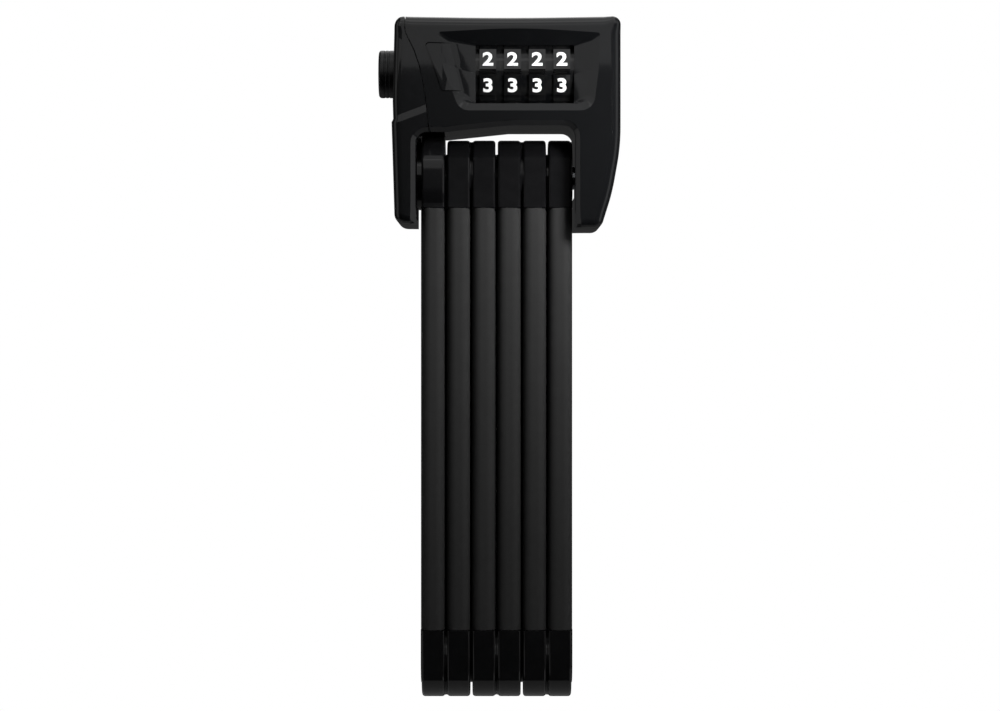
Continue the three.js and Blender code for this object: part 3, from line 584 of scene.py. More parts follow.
def dust_group():
    """Dust and finger marks: a mask of soft patches, stronger where the surface faces up."""
    found = bpy.data.node_groups.get("dust")
    if found:
        return found
    group, given, result = new_group("dust", [("Scale", 60.0), ("Amount", 0.3)], ["Mask"])
    link = group.links.new
    shape = add_node(group, "ShaderNodeNewGeometry")
    place = add_node(group, "ShaderNodeTexCoord")
    split = add_node(group, "ShaderNodeSeparateXYZ")
    up = add_node(group, "ShaderNodeMapRange", {"From Min": -0.2, "From Max": 1.0, "To Min": 0.25})
    noise = add_node(group, "ShaderNodeTexNoise", {"Detail": 6.0, "Roughness": 0.7})
    patches = add_node(group, "ShaderNodeMapRange", {"From Min": 0.42, "From Max": 0.72})
    both = add_node(group, "ShaderNodeMath", operation="MULTIPLY")
    scaled = add_node(group, "ShaderNodeMath", operation="MULTIPLY")
    link(shape.outputs["Normal"], split.inputs[0])
    link(split.outputs["Z"], up.inputs["Value"])
    link(place.outputs["Object"], noise.inputs["Vector"])
    link(given.outputs["Scale"], noise.inputs["Scale"])
    link(noise.outputs["Fac"], patches.inputs["Value"])
    link(up.outputs["Result"], both.inputs[0])
    link(patches.outputs["Result"], both.inputs[1])
    link(both.outputs[0], scaled.inputs[0])
    link(given.outputs["Amount"], scaled.inputs[1])
    link(scaled.outputs[0], result.inputs["Mask"])
    return group


# ---------------------------------------------------------------------------------------------
# Finishes
# ---------------------------------------------------------------------------------------------


def mix_colour(tree, mask, first, second):
    """Mixes two colours by a mask; each colour is a socket or three numbers."""
    mixer = add_node(tree, "ShaderNodeMix", data_type="RGBA")
    tree.links.new(mask, mixer.inputs["Factor"])
    for socket, colour in ((mixer.inputs[6], first), (mixer.inputs[7], second)):
        if isinstance(colour, bpy.types.NodeSocket):
            tree.links.new(colour, socket)
        else:
            socket.default_value = (*colour, 1.0)
    return mixer.outputs[2]


def worn_surface(name, colour, worn, rough, grain, relief, dust=0.3, metallic=0.0, specular=0.5,
                 wear=(0.53, 0.62), spread=0.2, coat=0.0, coat_rough=0.03):
    """A surface with grain, slow changes of colour and gloss, worn edges and a little dust.

    rough is the lowest and highest roughness, grain the number of grains per metre, and relief
    the grain's height in millimetres."""
    found = bpy.data.materials.get(name)
    if found:
        return found
    material = bpy.data.materials.new(name)
    material.use_nodes = True
    tree = material.node_tree
    link = tree.links.new
    shader = tree.nodes["Principled BSDF"]
    shader.inputs["Metallic"].default_value = metallic
    shader.inputs["Specular IOR Level"].default_value = specular
    shader.inputs["Coat Weight"].default_value = coat
    shader.inputs["Coat Roughness"].default_value = coat_rough
    grains = add_node(tree, "ShaderNodeGroup", node_tree=grain_group())
    grains.inputs["Grain scale"].default_value = grain
    edges = add_node(tree, "ShaderNodeGroup", node_tree=wear_group())
    edges.inputs["Start"].default_value = wear[0]
    edges.inputs["Full"].default_value = wear[1]
    dusty = add_node(tree, "ShaderNodeGroup", node_tree=dust_group())
    dusty.inputs["Amount"].default_value = dust
    dark = tuple(c * (1 - spread) for c in colour)
    light = tuple(c * (1 + spread) for c in colour)
    varied = mix_colour(tree, grains.outputs["Broad"], dark, light)
    edged = mix_colour(tree, edges.outputs["Mask"], varied, worn)
    grey = tuple(0.03 + 0.9 * c for c in colour)
    dusted = mix_colour(tree, dusty.outputs["Mask"], edged, grey)
    link(dusted, shader.inputs["Base Color"])
    gloss = add_node(tree, "ShaderNodeMapRange", {
        "From Min": 0.3, "From Max": 0.7, "To Min": rough[0], "To Max": rough[1]})
    duller = add_node(tree, "ShaderNodeMath", {1: 0.35}, operation="MULTIPLY_ADD")
    link(grains.outputs["Broad"], gloss.inputs["Value"])
    link(dusty.outputs["Mask"], duller.inputs[0])
    link(gloss.outputs["Result"], duller.inputs[2])
    link(duller.outputs[0], shader.inputs["Roughness"])
    bump = add_node(tree, "ShaderNodeBump", {"Strength": 1.0, "Distance": relief * MM})
    link(grains.outputs["Height"], bump.inputs["Height"])
    link(bump.outputs["Normal"], shader.inputs["Normal"])
    return material


def housing_plastic(colours):
    """Smooth black plastic under a clear skin."""
    return worn_surface("housing plastic", colours.housing, (0.0042, 0.0044, 0.005), (0.34, 0.42),
                        grain=2600.0, relief=0.004, dust=0.03, specular=0.25, spread=0.12, coat=1.0)


def bar_end_plastic(colours):
    """The bars' moulded ends, a little less smooth than the housing."""
    return worn_surface("bar end plastic", colours.bar_end, (0.0075, 0.0075, 0.008), (0.4, 0.5),
                        grain=2200.0, relief=0.006, dust=0.03, specular=0.2, spread=0.12,
                        coat=1.0, coat_rough=0.06)


def soft_sleeve(colours):
    """The matt, slightly grainy jacket of the bars."""
    return worn_surface("soft sleeve", colours.sleeve, (0.036, 0.036, 0.036), (0.55, 0.68),
                        grain=1900.0, relief=0.014, dust=0.06, specular=0.3, spread=0.1)


def dial_plastic():
    """The near black plastic of the dials."""
    return worn_surface("dial plastic", (0.0025, 0.0027, 0.0031), (0.006, 0.006, 0.006),
                        (0.34, 0.42), grain=3000.0, relief=0.004, dust=0.02, specular=0.25, coat=1.0)


def digit_paint(colours):
    """The pale paint of the digits."""
    return worn_surface("digit paint", colours.digits, (0.75, 0.75, 0.75), (0.45, 0.55),
                        grain=4000.0, relief=0.002, dust=0.05, spread=0.02)


def button_plastic():
    """The satin plastic of the push button."""
    return worn_surface("button plastic", (0.0065, 0.007, 0.0075), (0.02, 0.02, 0.021),
                        (0.34, 0.42), grain=2600.0, relief=0.005, dust=0.04, specular=0.3, coat=0.4,
                        coat_rough=0.35)


def black_steel():
    """Blackened steel, bare where it is worn."""
    return worn_surface("blackened steel", (0.02, 0.021, 0.024), (0.3, 0.3, 0.31), (0.3, 0.45),
                        grain=1500.0, relief=0.006, metallic=0.85)


def bright_steel():
    """Bare, bright steel."""
    return worn_surface("bright steel", (0.42, 0.43, 0.45), (0.62, 0.63, 0.65), (0.2, 0.34),
                        grain=1200.0, relief=0.004, metallic=1.0)


def spring_steel():
    """The slightly darker steel of the springs."""
    return worn_surface("spring steel", (0.3, 0.31, 0.33), (0.5, 0.5, 0.52), (0.22, 0.36),
                        grain=2000.0, relief=0.003, metallic=1.0)


def brass():
    """Plain brass."""
    return worn_surface("brass", (0.5, 0.33, 0.12), (0.72, 0.52, 0.24), (0.25, 0.4),
                        grain=1500.0, relief=0.004, metallic=1.0)


# ---------------------------------------------------------------------------------------------
# Housing
# ---------------------------------------------------------------------------------------------


def housing_outline():
    """Corners (x, z, radius) of the housing seen from the front, a wide U open downwards."""
    return [
        (LEFT + 1.1, LEFT_ARM_BOTTOM, 3.8),
        (LEFT_INNER, LEFT_ARM_BOTTOM, 0.0),
        (LEFT_INNER, ARCH_LEFT_Z, ARCH_CORNER),
        (LEFT_INNER + 8.8, ARCH_LEFT_Z, 9.0),
        (RIGHT_INNER - 19, ARCH_RIGHT_Z, 9.0),
        (RIGHT_INNER, ARCH_RIGHT_Z, ARCH_CORNER),
        (RIGHT_INNER, HOUSING_LOW.z, 0.0),
        (RIGHT - 5.7, HOUSING_LOW.z, 3.0),
        (RIGHT - 2.4, 10.5, 60.0),
        (RIGHT, 24.0, 60.0),
        (RIGHT, TOP, 2.4),
        ((LEFT + RIGHT) / 2, TOP - TOP_DIP, LONG_ARC),
        (LEFT + 0.6, TOP, 3.0),
        (LEFT, TOP - 24, 60.0),
    ]


def in_arch(x, z):
    """Whether a place on the outline belongs to the opening for the bars."""
    return LEFT_INNER - 0.1 < x < RIGHT_INNER + 0.1 and z < ARCH_RIGHT_Z + 0.1


def housing_blank(size):
    """The whole housing as one solid, before it is hollowed and parted."""
    top = size.top_rounding / MM
    side = size.side_rounding / MM
    chamfer = size.arch_chamfer / MM

    def rim(x, z):
        if in_arch(x, z):
            return chamfer
        lift = min(max((z - 52) / 7, 0), 1)
        return side + (top - side) * lift

    points = split_long(arc_outline(housing_outline()), 2.5)
    return rounded_slab(points, FRONT, BACK, along_y, rim, in_arch)


def hollow():
    """What is taken out of the housing for the frame, the bars' head and the dials."""
    front = FRAME_LOW.y - COVER_GAP
    back = BACK - COVER_WALL
    room = prism(arc_outline(inset_corners(housing_outline(), COVER_WALL)), front, back)
    arm_slot = block(
        (LEFT_INNER - COVER_WALL - COVER_GAP - 1.3, front, LEFT_ARM_BOTTOM + COVER_WALL),
        (LEFT_INNER + 1, back, ARCH_LEFT_Z))
    head_right = box_mm("bar_1_upper_cap")[1].x
    head = rod(HEAD_POCKET, LEFT_INNER - 0.01, head_right + 0.35, 0, TOP_AXIS_Z)
    bay = rod(BAY_RADIUS, BAY_LEFT, BAY_RIGHT, DIAL_Y, DIAL_Z)
    slot = block((RIGHT_INNER - 1, -4, STUD_SLOT[0]),
                 (RIGHT_INNER + COVER_WALL + COVER_GAP + 1, 40, STUD_SLOT[1]))
    return [room, arm_slot, head, bay, slot]


def seam_line():
    """The seam round the left side cap, from the top down to the foot of the arm."""
    return [
        (LEFT + 4.1, TOP - 4.6, 6.0),
        (LEFT + 6.7, TOP - 9.8, 8.0),
        (LEFT + 8.3, TOP - 14.4, 20.0),
        (LEFT + 9.6, TOP - 20.4, 30.0),
        (LEFT + 10.3, TOP - 25.9, 30.0),
        (LEFT + 11, ARCH_LEFT_Z + 1.2, 10.0),
        (LEFT + 11, ARCH_LEFT_Z - 2.6, 0.0),
        (LEFT_INNER + 1, ARCH_LEFT_Z - 2.6, 0.0),
    ]


def left_of_seam(offset):
    """Everything left of the seam, its edge moved by an offset along X."""
    seam = [(x + offset, z, radius) for x, z, radius in seam_line()]
    top_x = seam[0][0]
    foot_x = seam[-1][0]
    far = LEFT - 10
    corners = [(far, TOP + 5, 0.0), (far, LEFT_ARM_BOTTOM - 5, 0.0),
               (foot_x, LEFT_ARM_BOTTOM - 5, 0.0)]
    corners += list(reversed(seam))
    corners.append((top_x, TOP + 5, 0.0))
    return prism(arc_outline(corners), FRONT - 5, BACK + 5)


def scoop():
    """The hollow round the dial window: a sloping band, then walls that slope in to the window."""
    middle_x = (BAY_LEFT + BAY_RIGHT) / 2
    middle_z = (WINDOW_LOW + WINDOW_HIGH) / 2
    mouth = [
        (-10.6, 33.9, 4.0), (27.9, 33.9, 4.2), (29.4, 45.6, 30.0), (29.8, 56.3, 0.8),
        (6.7, 57.8, LONG_ARC), (-16.9, 56.5, 0.8), (-15.8, 47.1, 30.0)]
    band = [
        (-9.4, 36.0, 3.0), (26.4, 36.0, 3.2), (27.0, 45.6, 30.0), (27.4, 54.8, 0.8),
        (6.7, 56.2, LONG_ARC), (-14.1, 54.7, 0.8), (-12.2, 46.7, 30.0)]
    window = [
        (BAY_LEFT, WINDOW_LOW, 0.3), (BAY_RIGHT, WINDOW_LOW, 0.3), (BAY_RIGHT, middle_z, 1.0),
        (BAY_RIGHT, WINDOW_HIGH, 0.3), (middle_x, WINDOW_HIGH, 1.0), (BAY_LEFT, WINDOW_HIGH, 0.3),
        (BAY_LEFT, middle_z, 1.0)]
    levels = [
        (mouth, FRONT - 1), (mouth, FRONT), (band, FRONT + 1.1), (window, FRONT + 3.0),
        (window, FRONT + 9)]
    return lofted([[along_y(u, v, y) for u, v, _ in arc_outline(corners)] for corners, y in levels])


def inlay(distance, depth):
    """The room of the inlaid panel left of the window, made smaller by a distance."""
    corners = [
        (-15.9, 39.4, 0.8), (-8.0, 39.4, 0.3), (-8.0, 53.3, 0.3), (-20.9, 53.6, 1.0),
        (-18.7, 47.6, 12.0)]
    return prism(arc_outline(inset_corners(corners, distance)), FRONT - 1, FRONT + depth)


def screw_places():
    """Middles of the screw heads in the back, as the frame has them."""
    places = []
    for i in range(SCREW_COUNT):
        low, high = box_mm(f"cover_screw_{i + 1}")
        places.append(((low.x + high.x) / 2, (low.z + high.z) / 2))
    return places


def stepped_cap(blank, step):
    """Moves the blank's surface in above the slanting band across the left cap."""
    low_line = (Vector((-30.3, 0, 29.7)), Vector((-20.7, 0, 33.5)))
    direction = (low_line[1] - low_line[0]).normalized()
    normal = Vector((-direction.z, 0, direction.x))
    band = 1.8
    for shift in (-0.2, 0.0, band, band + 0.2):
        geometry = blank.verts[:] + blank.edges[:] + blank.faces[:]
        bmesh.ops.bisect_plane(
            blank, geom=geometry, dist=1e-4, plane_co=low_line[0] + normal * shift, plane_no=normal)
    blank.normal_update()
    for vert in blank.verts:
        vert.normal_update()
    above = [v for v in blank.verts
             if (v.co - low_line[0]).dot(normal) > band - 1e-3 and v.co.x < 0]
    moves = []
    for vert in above:
        flat = min(abs(vert.co.y - FRONT), abs(vert.co.y - BACK)) < 1e-3
        sideways = 0.0 if flat else vert.normal.x
        depth = math.copysign(1.0, vert.co.y) if flat else vert.normal.y
        moves.append((vert, Vector((sideways, 0.6 * depth, 0))))
    for vert, outward in moves:
        vert.co -= outward * step
    return blank


# ---------------------------------------------------------------------------------------------
# Operators
# ---------------------------------------------------------------------------------------------


class LOCK_OT_housing(bpy.types.Operator):
    """Builds the front and back covers, the left side cap and the inlaid panel"""

    bl_idname = "lock.housing"
    bl_label = "Build housing"

    def execute(self, context):
        size = context.scene.lock_housing
        plastic = housing_plastic(context.scene.lock_finish)
        bevel = size.edge_bevel / MM
        front_half = (Vector((-80, -80, -20)), Vector((80, -SEAM / 2, 80)))
        back_half = (Vector((-80, SEAM / 2, -20)), Vector((80, 80, 80)))

        front = cut(housing_blank(size), *hollow(), left_of_seam(SEAM / 2))
        front = cut(shared(front, block(*front_half)), scoop())
        panel = shared(front.copy(), inlay(0.3, 1.2))
        front = cut(front, inlay(0.0, 1.35))
        finished("front_shell", front, "housing", plastic,
                 ["front_cover"], bevel)
        finished("inlay_panel", panel, "housing", plastic,
                 ["window_panel"], 0.12)

        mouth = cut(
            block((RIGHT_INNER - 1, 0, STUD_CHANNEL[0]), (RIGHT - 5.15, 40, STUD_CHANNEL[1])),
            block((RIGHT_INNER - 2, -1, STUD_CHANNEL[0] - 1),
                  (RIGHT_INNER + COVER_WALL, BACK - COVER_WALL, STUD_CHANNEL[1] + 1)))
        back = cut(housing_blank(size), *hollow(), left_of_seam(SEAM / 2))
        back = cut(shared(back, block(*back_half)), mouth)
        for x, z in screw_places():
            shaft = turned([(0, 0), (0, 1.6), (40, 1.6), (40, 0)], (x, 0, z), (0, 1, 0), 32)
            head = turned([(BACK - 1.2, 0), (BACK - 1.2, 2.8), (40, 2.8), (40, 0)],
                          (x, 0, z), (0, 1, 0), 48)
            back = cut(back, shaft, head)
        finished("back_shell", back, "housing", plastic, ["back_cover"], bevel)

        cap = stepped_cap(housing_blank(size), size.cap_step / MM)
        hole = rod(BUTTON_HOLE, LEFT - 10, FRAME_LOW.x + 2, DIAL_Y, DIAL_Z)
        cap = cut(shared(cap, left_of_seam(-SEAM / 2)), *hollow(), hole)
        finished("side_cap", cap, "housing", plastic, ["left_side_cap"], bevel)
        return {"FINISHED"}


class LOCK_OT_screws(bpy.types.Operator):
    """Builds the three socket screws that hold the back cover"""

    bl_idname = "lock.screws"
    bl_label = "Build screws"

    def execute(self, context):
        for i, (x, z) in enumerate(screw_places()):
            node = f"cover_screw_{i + 1}"
            low, high = box_mm(node)
            profile = [
                (low.y, 0), (low.y, 0.9), (low.y + 0.5, 1.3), (SCREW_SEAT_Y, 1.3),
                (SCREW_SEAT_Y, SCREW_HEAD), (high.y - 0.15, SCREW_HEAD), (high.y, SCREW_HEAD - 0.15),
                (high.y, 0)]
            body = turned(profile, (x, 0, z), (0, 1, 0), 48)
            socket = turned([(high.y - 1.4, 0), (high.y - 1.4, 1.15), (high.y + 1, 1.15),
                             (high.y + 1, 0)], (x, 0, z), (0, 1, 0), 6)
            finished(f"socket_screw_{i + 1}", cut(body, socket), "housing",
                     bright_steel(), [node], 0.06)
        return {"FINISHED"}


class LOCK_OT_sleeves(bpy.types.Operator):
    """Builds the soft sleeves round the bars"""

    bl_idname = "lock.sleeves"
    bl_label = "Build sleeves"

    def execute(self, context):
        rounding = context.scene.lock_bars.sleeve_rounding / MM
        material = soft_sleeve(context.scene.lock_finish)
        for i in range(BAR_COUNT):
            node = f"bar_{i + 1}_sleeve"
            low, high = box_mm(node)
            core_low, core_high = box_mm(f"bar_{i + 1}_core")
            left = low.x - SIDE_CROWN
            right = high.x + SIDE_CROWN
            flat = high.y - CROWN_FLAT
            slope = high.y - CROWN_START
            corners = [
                (low.x, low.y, rounding), (high.x, low.y, rounding),
                (high.x, -slope, CROWN_CORNER), (right, -flat, CROWN_CORNER),
                (right, flat, CROWN_CORNER), (high.x, slope, CROWN_CORNER),
                (high.x, high.y, rounding), (low.x, high.y, rounding),
                (low.x, slope, CROWN_CORNER), (left, flat, CROWN_CORNER),
                (left, -flat, CROWN_CORNER), (low.x, -slope, CROWN_CORNER)]
            tube = prism(arc_outline(corners, 10), low.z, high.z, along_z)
            core_y = high.y - CORE_EDGE
            hole = block((core_low.x - CORE_GAP, -core_y, low.z - 1),
                         (core_high.x + CORE_GAP, core_y, high.z + 1))
            finished(f"bar_{i + 1}_jacket", cut(tube, hole), f"bar_{i + 1}",
                     material, [node], 0.25)
        return {"FINISHED"}


def bar_end(i, upper, rounding):
    """The moulded end of a bar: a rounded slab with a pad towards its neighbour."""
    name = f"bar_{i + 1}_" + ("upper_cap" if upper else "lower_cap")
    low, high = box_mm(name)
    core_low, core_high = box_mm(f"bar_{i + 1}_core")
    sleeve_low, sleeve_high = box_mm(f"bar_{i + 1}_sleeve")
    left, right = sleeve_low.x, sleeve_high.x
    axis = TOP_AXIS_Z if upper else BOTTOM_AXIS_Z
    half = sleeve_high.y
    outward = 1 if upper else -1
    joint = low.z if upper else high.z
    side = 1 if high.x - right > left - low.x else -1

    def rim(u, v):
        """The same rounding all round."""
        return rounding

    def open_arch(wide, arc):
        """The outline of an arch on two straight sides that run past the joint."""
        foot = joint - outward * 6
        outline = [(wide, foot, math.inf), *arc, (-wide, foot, math.inf)]
        return outline if upper else list(reversed(outline))

    def end_outline(distance):
        """The outline of the end, drawn in by a distance."""
        wide = half - distance
        rise = TIP_REACH - SHOULDER_RISE
        radius = (half ** 2 + rise ** 2) / (2 * rise)
        middle = axis + outward * (TIP_REACH - radius)
        start = math.acos(wide / (radius - distance))
        drawn = radius - distance
        arc = [(drawn * math.cos(a), middle + outward * drawn * math.sin(a), radius)
               for a in (start + (math.pi - 2 * start) * k / 32 for k in range(33))]
        return open_arch(wide, arc)

    def circle(radius):
        """A round outline about the hinge."""
        return [(radius * math.cos(a), axis + radius * math.sin(a), radius)
                for a in (math.tau * k / 72 for k in range(72))]

    def head_outline(radius):
        """A round outline about the hinge, cut flat at the front and back."""
        start = math.acos(HEAD_FLAT / radius)
        angles = [start + (math.pi - 2 * start) * k / 24 for k in range(25)]
        angles += [a + math.pi for a in angles]
        return [(radius * math.cos(a), axis + radius * math.sin(a), radius) for a in angles]

    def boss_outline():
        """The outline of the swollen middle, round the hinge and down the bar."""
        arc = [(BOSS_RADIUS * math.cos(a), axis + outward * BOSS_RADIUS * math.sin(a), BOSS_RADIUS)
               for a in (math.pi * k / 24 for k in range(25))]
        return open_arch(BOSS_RADIUS, arc)

    body = rounded_slab(end_outline(0), left, right, along_x, rim, steps=4)
    crown = END_CROWN if i == BAR_COUNT - 1 and upper else SIDE_CROWN
    boss_from, boss_to = (left - crown, left + 1) if side > 0 else (right - 1, right + crown)
    body = join(body, prism(boss_outline(), boss_from, boss_to, along_x))
    reach = high.y
    if reach > half + 0.5:
        body = join(body, rounded_slab(head_outline(reach), left, right, along_x, rim, steps=4))
    pad_radius = half - PAD_INSET
    pad_from = (right - 1.0) if side > 0 else low.x - PAD_SWELL
    pad_to = high.x + PAD_SWELL if side > 0 else left + 1.0
    body = join(body, rounded_slab(circle(pad_radius), pad_from, pad_to, along_x, lambda u, v: 0.12,
                                   steps=1))
    limit = sorted((joint, axis + outward * WELL_OUTSIDE))
    body = shared(body, block((-2 * WELL_OUTSIDE, -WELL_OUTSIDE, limit[0]),
                              (2 * WELL_OUTSIDE, WELL_OUTSIDE, limit[1])))
    pocket_left = core_low.x - CORE_GAP
    pocket_right = core_high.x + CORE_GAP
    pocket = prism(end_outline(CORE_EDGE), pocket_left, pocket_right, along_x)
    bore = rod(RIVET_BORE, low.x - 3, high.x + 3, 0, axis)
    centre = (left + right) / 2
    recess_from, recess_to = sorted((centre, centre - side * (right - left)))
    recess = rod(RIVET_RECESS, recess_from, recess_to, 0, axis)
    tools = [pocket, bore, recess]
    if reach > half + 0.5:
        tools.append(rod(reach - CORE_EDGE, pocket_left, pocket_right, 0, axis))
    return cut(body, *tools), name


class LOCK_OT_bar_ends(bpy.types.Operator):
    """Builds the moulded ends of the bars"""

    bl_idname = "lock.bar_ends"
    bl_label = "Build bar ends"

    def execute(self, context):
        rounding = context.scene.lock_bars.cap_rounding / MM
        material = bar_end_plastic(context.scene.lock_finish)
        for i in range(BAR_COUNT):
            for upper in (True, False):
                shape, node = bar_end(i, upper, rounding)
                name = f"bar_{i + 1}_" + ("upper_end" if upper else "lower_end")
                finished(name, shape, f"bar_{i + 1}", material, [node], 0.12)
        return {"FINISHED"}


def rivet_head(face, seat, radius):
    """Half a rivet's profile from the middle of its head's face to the seat: a domed head."""
    out = math.copysign(1, face - seat)
    return [
        (face, 0), (face, 0.35 * radius), (face - out * 0.06, 0.6 * radius),
        (face - out * 0.18, 0.82 * radius), (face - out * 0.36, 0.95 * radius),
        (face - out * 0.62, radius), (seat, radius)]


class LOCK_OT_rivets(bpy.types.Operator):
    """Builds the rivets that the bars turn on, and the locking stud"""

    bl_idname = "lock.rivets"
    bl_label = "Build rivets"

    def execute(self, context):
        steel = black_steel()
        for i in range(BAR_COUNT - 1):
            node = f"hinge_rivet_{i + 1}_{i + 2}"
            low, high = box_mm(node)
            radius = (high.z - low.z) / 2
            left_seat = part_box(f"bar_{i + 1}_core")[0].x / MM - 0.1
            right_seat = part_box(f"bar_{i + 2}_core")[1].x / MM + 0.1
            profile = rivet_head(low.x, left_seat, radius) + [(left_seat, RIVET_SHANK)]
            profile.append((right_seat, RIVET_SHANK))
            profile += list(reversed(rivet_head(high.x, right_seat, radius)))
            shape = turned(profile, (0, 0, (low.z + high.z) / 2))
            finished(f"rivet_{i + 1}_{i + 2}", shape, f"bar_{i + 1}", steel,
                     [node], 0.08)
        low, high = box_mm("arm_rivet")
        radius = (high.z - low.z) / 2
        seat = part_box("bar_1_core")[1].x / MM + 0.1
        profile = [(low.x, 0), (low.x, radius), (low.x + 1.5, radius),
                   (low.x + 1.5, RIVET_SHANK), (seat, RIVET_SHANK)]
        profile += list(reversed(rivet_head(high.x, seat, radius)))
        finished("pivot_rivet", turned(profile, (0, 0, TOP_AXIS_Z)), "housing", steel,
                 ["arm_rivet"], 0.08)
        low, high = STUD_LOW, STUD_HIGH
        radius = (high.z - low.z) / 2
        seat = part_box("bar_6_core")[0].x / MM - 0.1
        flange = high.x - 2.6
        profile = rivet_head(low.x, seat, radius)
        profile += [(seat, 3.4), (flange - 0.3, 3.4), (flange, 3.7), (flange, 4.6),
                    (high.x - 0.6, 4.6), (high.x, 4.0), (high.x, 0.8), (high.x - 0.4, 0)]
        finished("lock_stud", turned(profile, (0, 0, TOP_AXIS_Z)), "bar_6",
                 bright_steel(), ["locking_stud"], 0.08)
        return {"FINISHED"}


def dial_outline(radius):
    """A dial's middle from the side: a flat pad for each digit, and ridges between the pads."""
    pitch = math.tau / DIGIT_COUNT
    pad_half = 0.39 * pitch
    ridge_radii = (radius - 0.95, radius - 0.5, radius - 0.95, radius - 0.5, radius - 0.95)
    points = []
    for digit in range(DIGIT_COUNT):
        middle = (digit + 0.5) * pitch + DIAL_TURN
        for angle in (middle - pad_half, middle + pad_half):
            points.append((radius * math.cos(angle), radius * math.sin(angle), math.inf))
        groove = middle + pitch / 2
        groove_half = pitch / 2 - pad_half
        for k, ridge in enumerate(ridge_radii):
            angle = groove + groove_half * 0.7 * (k - 2) / 2
            points.append((ridge * math.cos(angle), ridge * math.sin(angle), math.inf))
    return [(DIAL_Y + y, DIAL_Z + z, r) for y, z, r in points]


def digit_shape(digit, size):
    """A raised digit, lying in X and Y and facing +Z, its middle at the origin."""
    curve = bpy.data.curves.new("digit", "FONT")
    curve.body = str(digit)
    curve.align_x = "CENTER"
    curve.offset = 0.03
    curve.extrude = 0.5
    curve.resolution_u = 6
    text = bpy.data.objects.new("digit", curve)
    bpy.context.scene.collection.objects.link(text)
    bpy.context.view_layer.update()
    solved = text.evaluated_get(bpy.context.evaluated_depsgraph_get())
    mesh = bpy.data.meshes.new_from_object(solved)
    bm = bmesh.new()
    bm.from_mesh(mesh)
    bpy.data.objects.remove(text)
    bpy.data.curves.remove(curve)
    bpy.data.meshes.remove(mesh)
    low = Vector([min(v.co[k] for v in bm.verts) for k in range(3)])
    high = Vector([max(v.co[k] for v in bm.verts) for k in range(3)])
    bmesh.ops.translate(bm, vec=-(low + high) / 2, verts=bm.verts)
    tall = size.digit_height / MM / (high.y - low.y)
    broad = size.digit_width / MM / DIGIT_BREADTH
    bmesh.ops.scale(bm, vec=(broad, tall, 0.4), verts=bm.verts)
    bmesh.ops.remove_doubles(bm, verts=bm.verts, dist=1e-3)
    bmesh.ops.recalc_face_normals(bm, faces=bm.faces)
    return bm


class LOCK_OT_dials(bpy.types.Operator):
    """Builds the four number dials and their digits"""

    bl_idname = "lock.dials"
    bl_label = "Build dials"

    def execute(self, context):
        size = context.scene.lock_dials
        plastic = dial_plastic()
        paint = digit_paint(context.scene.lock_finish)
        pitch = math.tau / DIGIT_COUNT
        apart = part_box("dial_2")[0].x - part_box("dial_1")[1].x
        collar_reach = apart / MM / 2 - 0.0015
        for i in range(DIAL_COUNT):
            node = f"dial_{i + 1}"
            low, high = box_mm(node)
            radius = (high.z - low.z) / 2
            collar = radius - COLLAR_DROP
            pads = prism(dial_outline(radius), low.x + 0.9, high.x - 0.9, along_x)
            rings = rod(collar, low.x - collar_reach, high.x + collar_reach, DIAL_Y, DIAL_Z)
            bore = rod(DIAL_BORE, low.x - 1, high.x + 1, DIAL_Y, DIAL_Z)
            wheel = cut(join(pads, rings), bore)
            finished(f"{node}_wheel", wheel, node, plastic, [node], 0.1)

            pad_plane = radius * math.cos(0.39 * pitch)
            digits = bmesh.new()
            for digit in range(DIGIT_COUNT):
                angle = math.pi - pitch / 2 + (digit - FRONT_DIGIT) * pitch + DIAL_TURN
                normal = Vector((0, math.cos(angle), math.sin(angle)))
                up = normal.cross(Vector((1, 0, 0)))
                turn = Matrix((Vector((1, 0, 0)), up, normal)).transposed().to_4x4()
                centre = Vector(((low.x + high.x) / 2, DIAL_Y, DIAL_Z))
                lift = pad_plane - 0.2 + size.digit_relief / MM
                shape = digit_shape(digit, size)
                shape.transform(Matrix.Translation(centre + normal * lift) @ turn)
                add_shape(digits, shape)
            finished(f"{node}_digits", digits, node, paint, bevel=0)
        return {"FINISHED"}


class LOCK_OT_button(bpy.types.Operator):
    """Builds the push button on the left side"""

    bl_idname = "lock.button"
    bl_label = "Build push button"

    def execute(self, context):
        low, high = BUTTON_LOW, BUTTON_HIGH
        face = low.x
        radius = 6.95
        collar = (LEFT + 2.6, LEFT + 4.1)
        dome = 0.9
        profile = [(face + 0.35, 0), (face + 0.3, 3.0), (face + 0.12, 4.6), (face, 5.1)]
        for step in range(7):
            angle = math.pi / 2 * step / 6
            profile.append((face + dome * (1 - math.cos(angle)),
                            radius - dome + dome * math.sin(angle)))
        for k in range(2):
            x = face + dome + 0.7 + 1.1 * k
            profile += [(x, radius), (x + 0.15, radius - RIB_DEPTH),
                        (x + 0.4, radius - RIB_DEPTH), (x + 0.55, radius)]
        profile += [
            (collar[0], radius), (collar[0], radius + 1.3), (collar[1], radius + 1.3),
            (collar[1], 5.2), (high.x, 5.2), (high.x, 3.35), (collar[1] - 0.9, 3.35),
            (collar[1] - 0.9, 0)]
        shape = turned(profile, (0, DIAL_Y, DIAL_Z), steps=96)
        finished("push_cap", shape, "button", button_plastic(),
                 ["push_button"], 0.06)
        return {"FINISHED"}


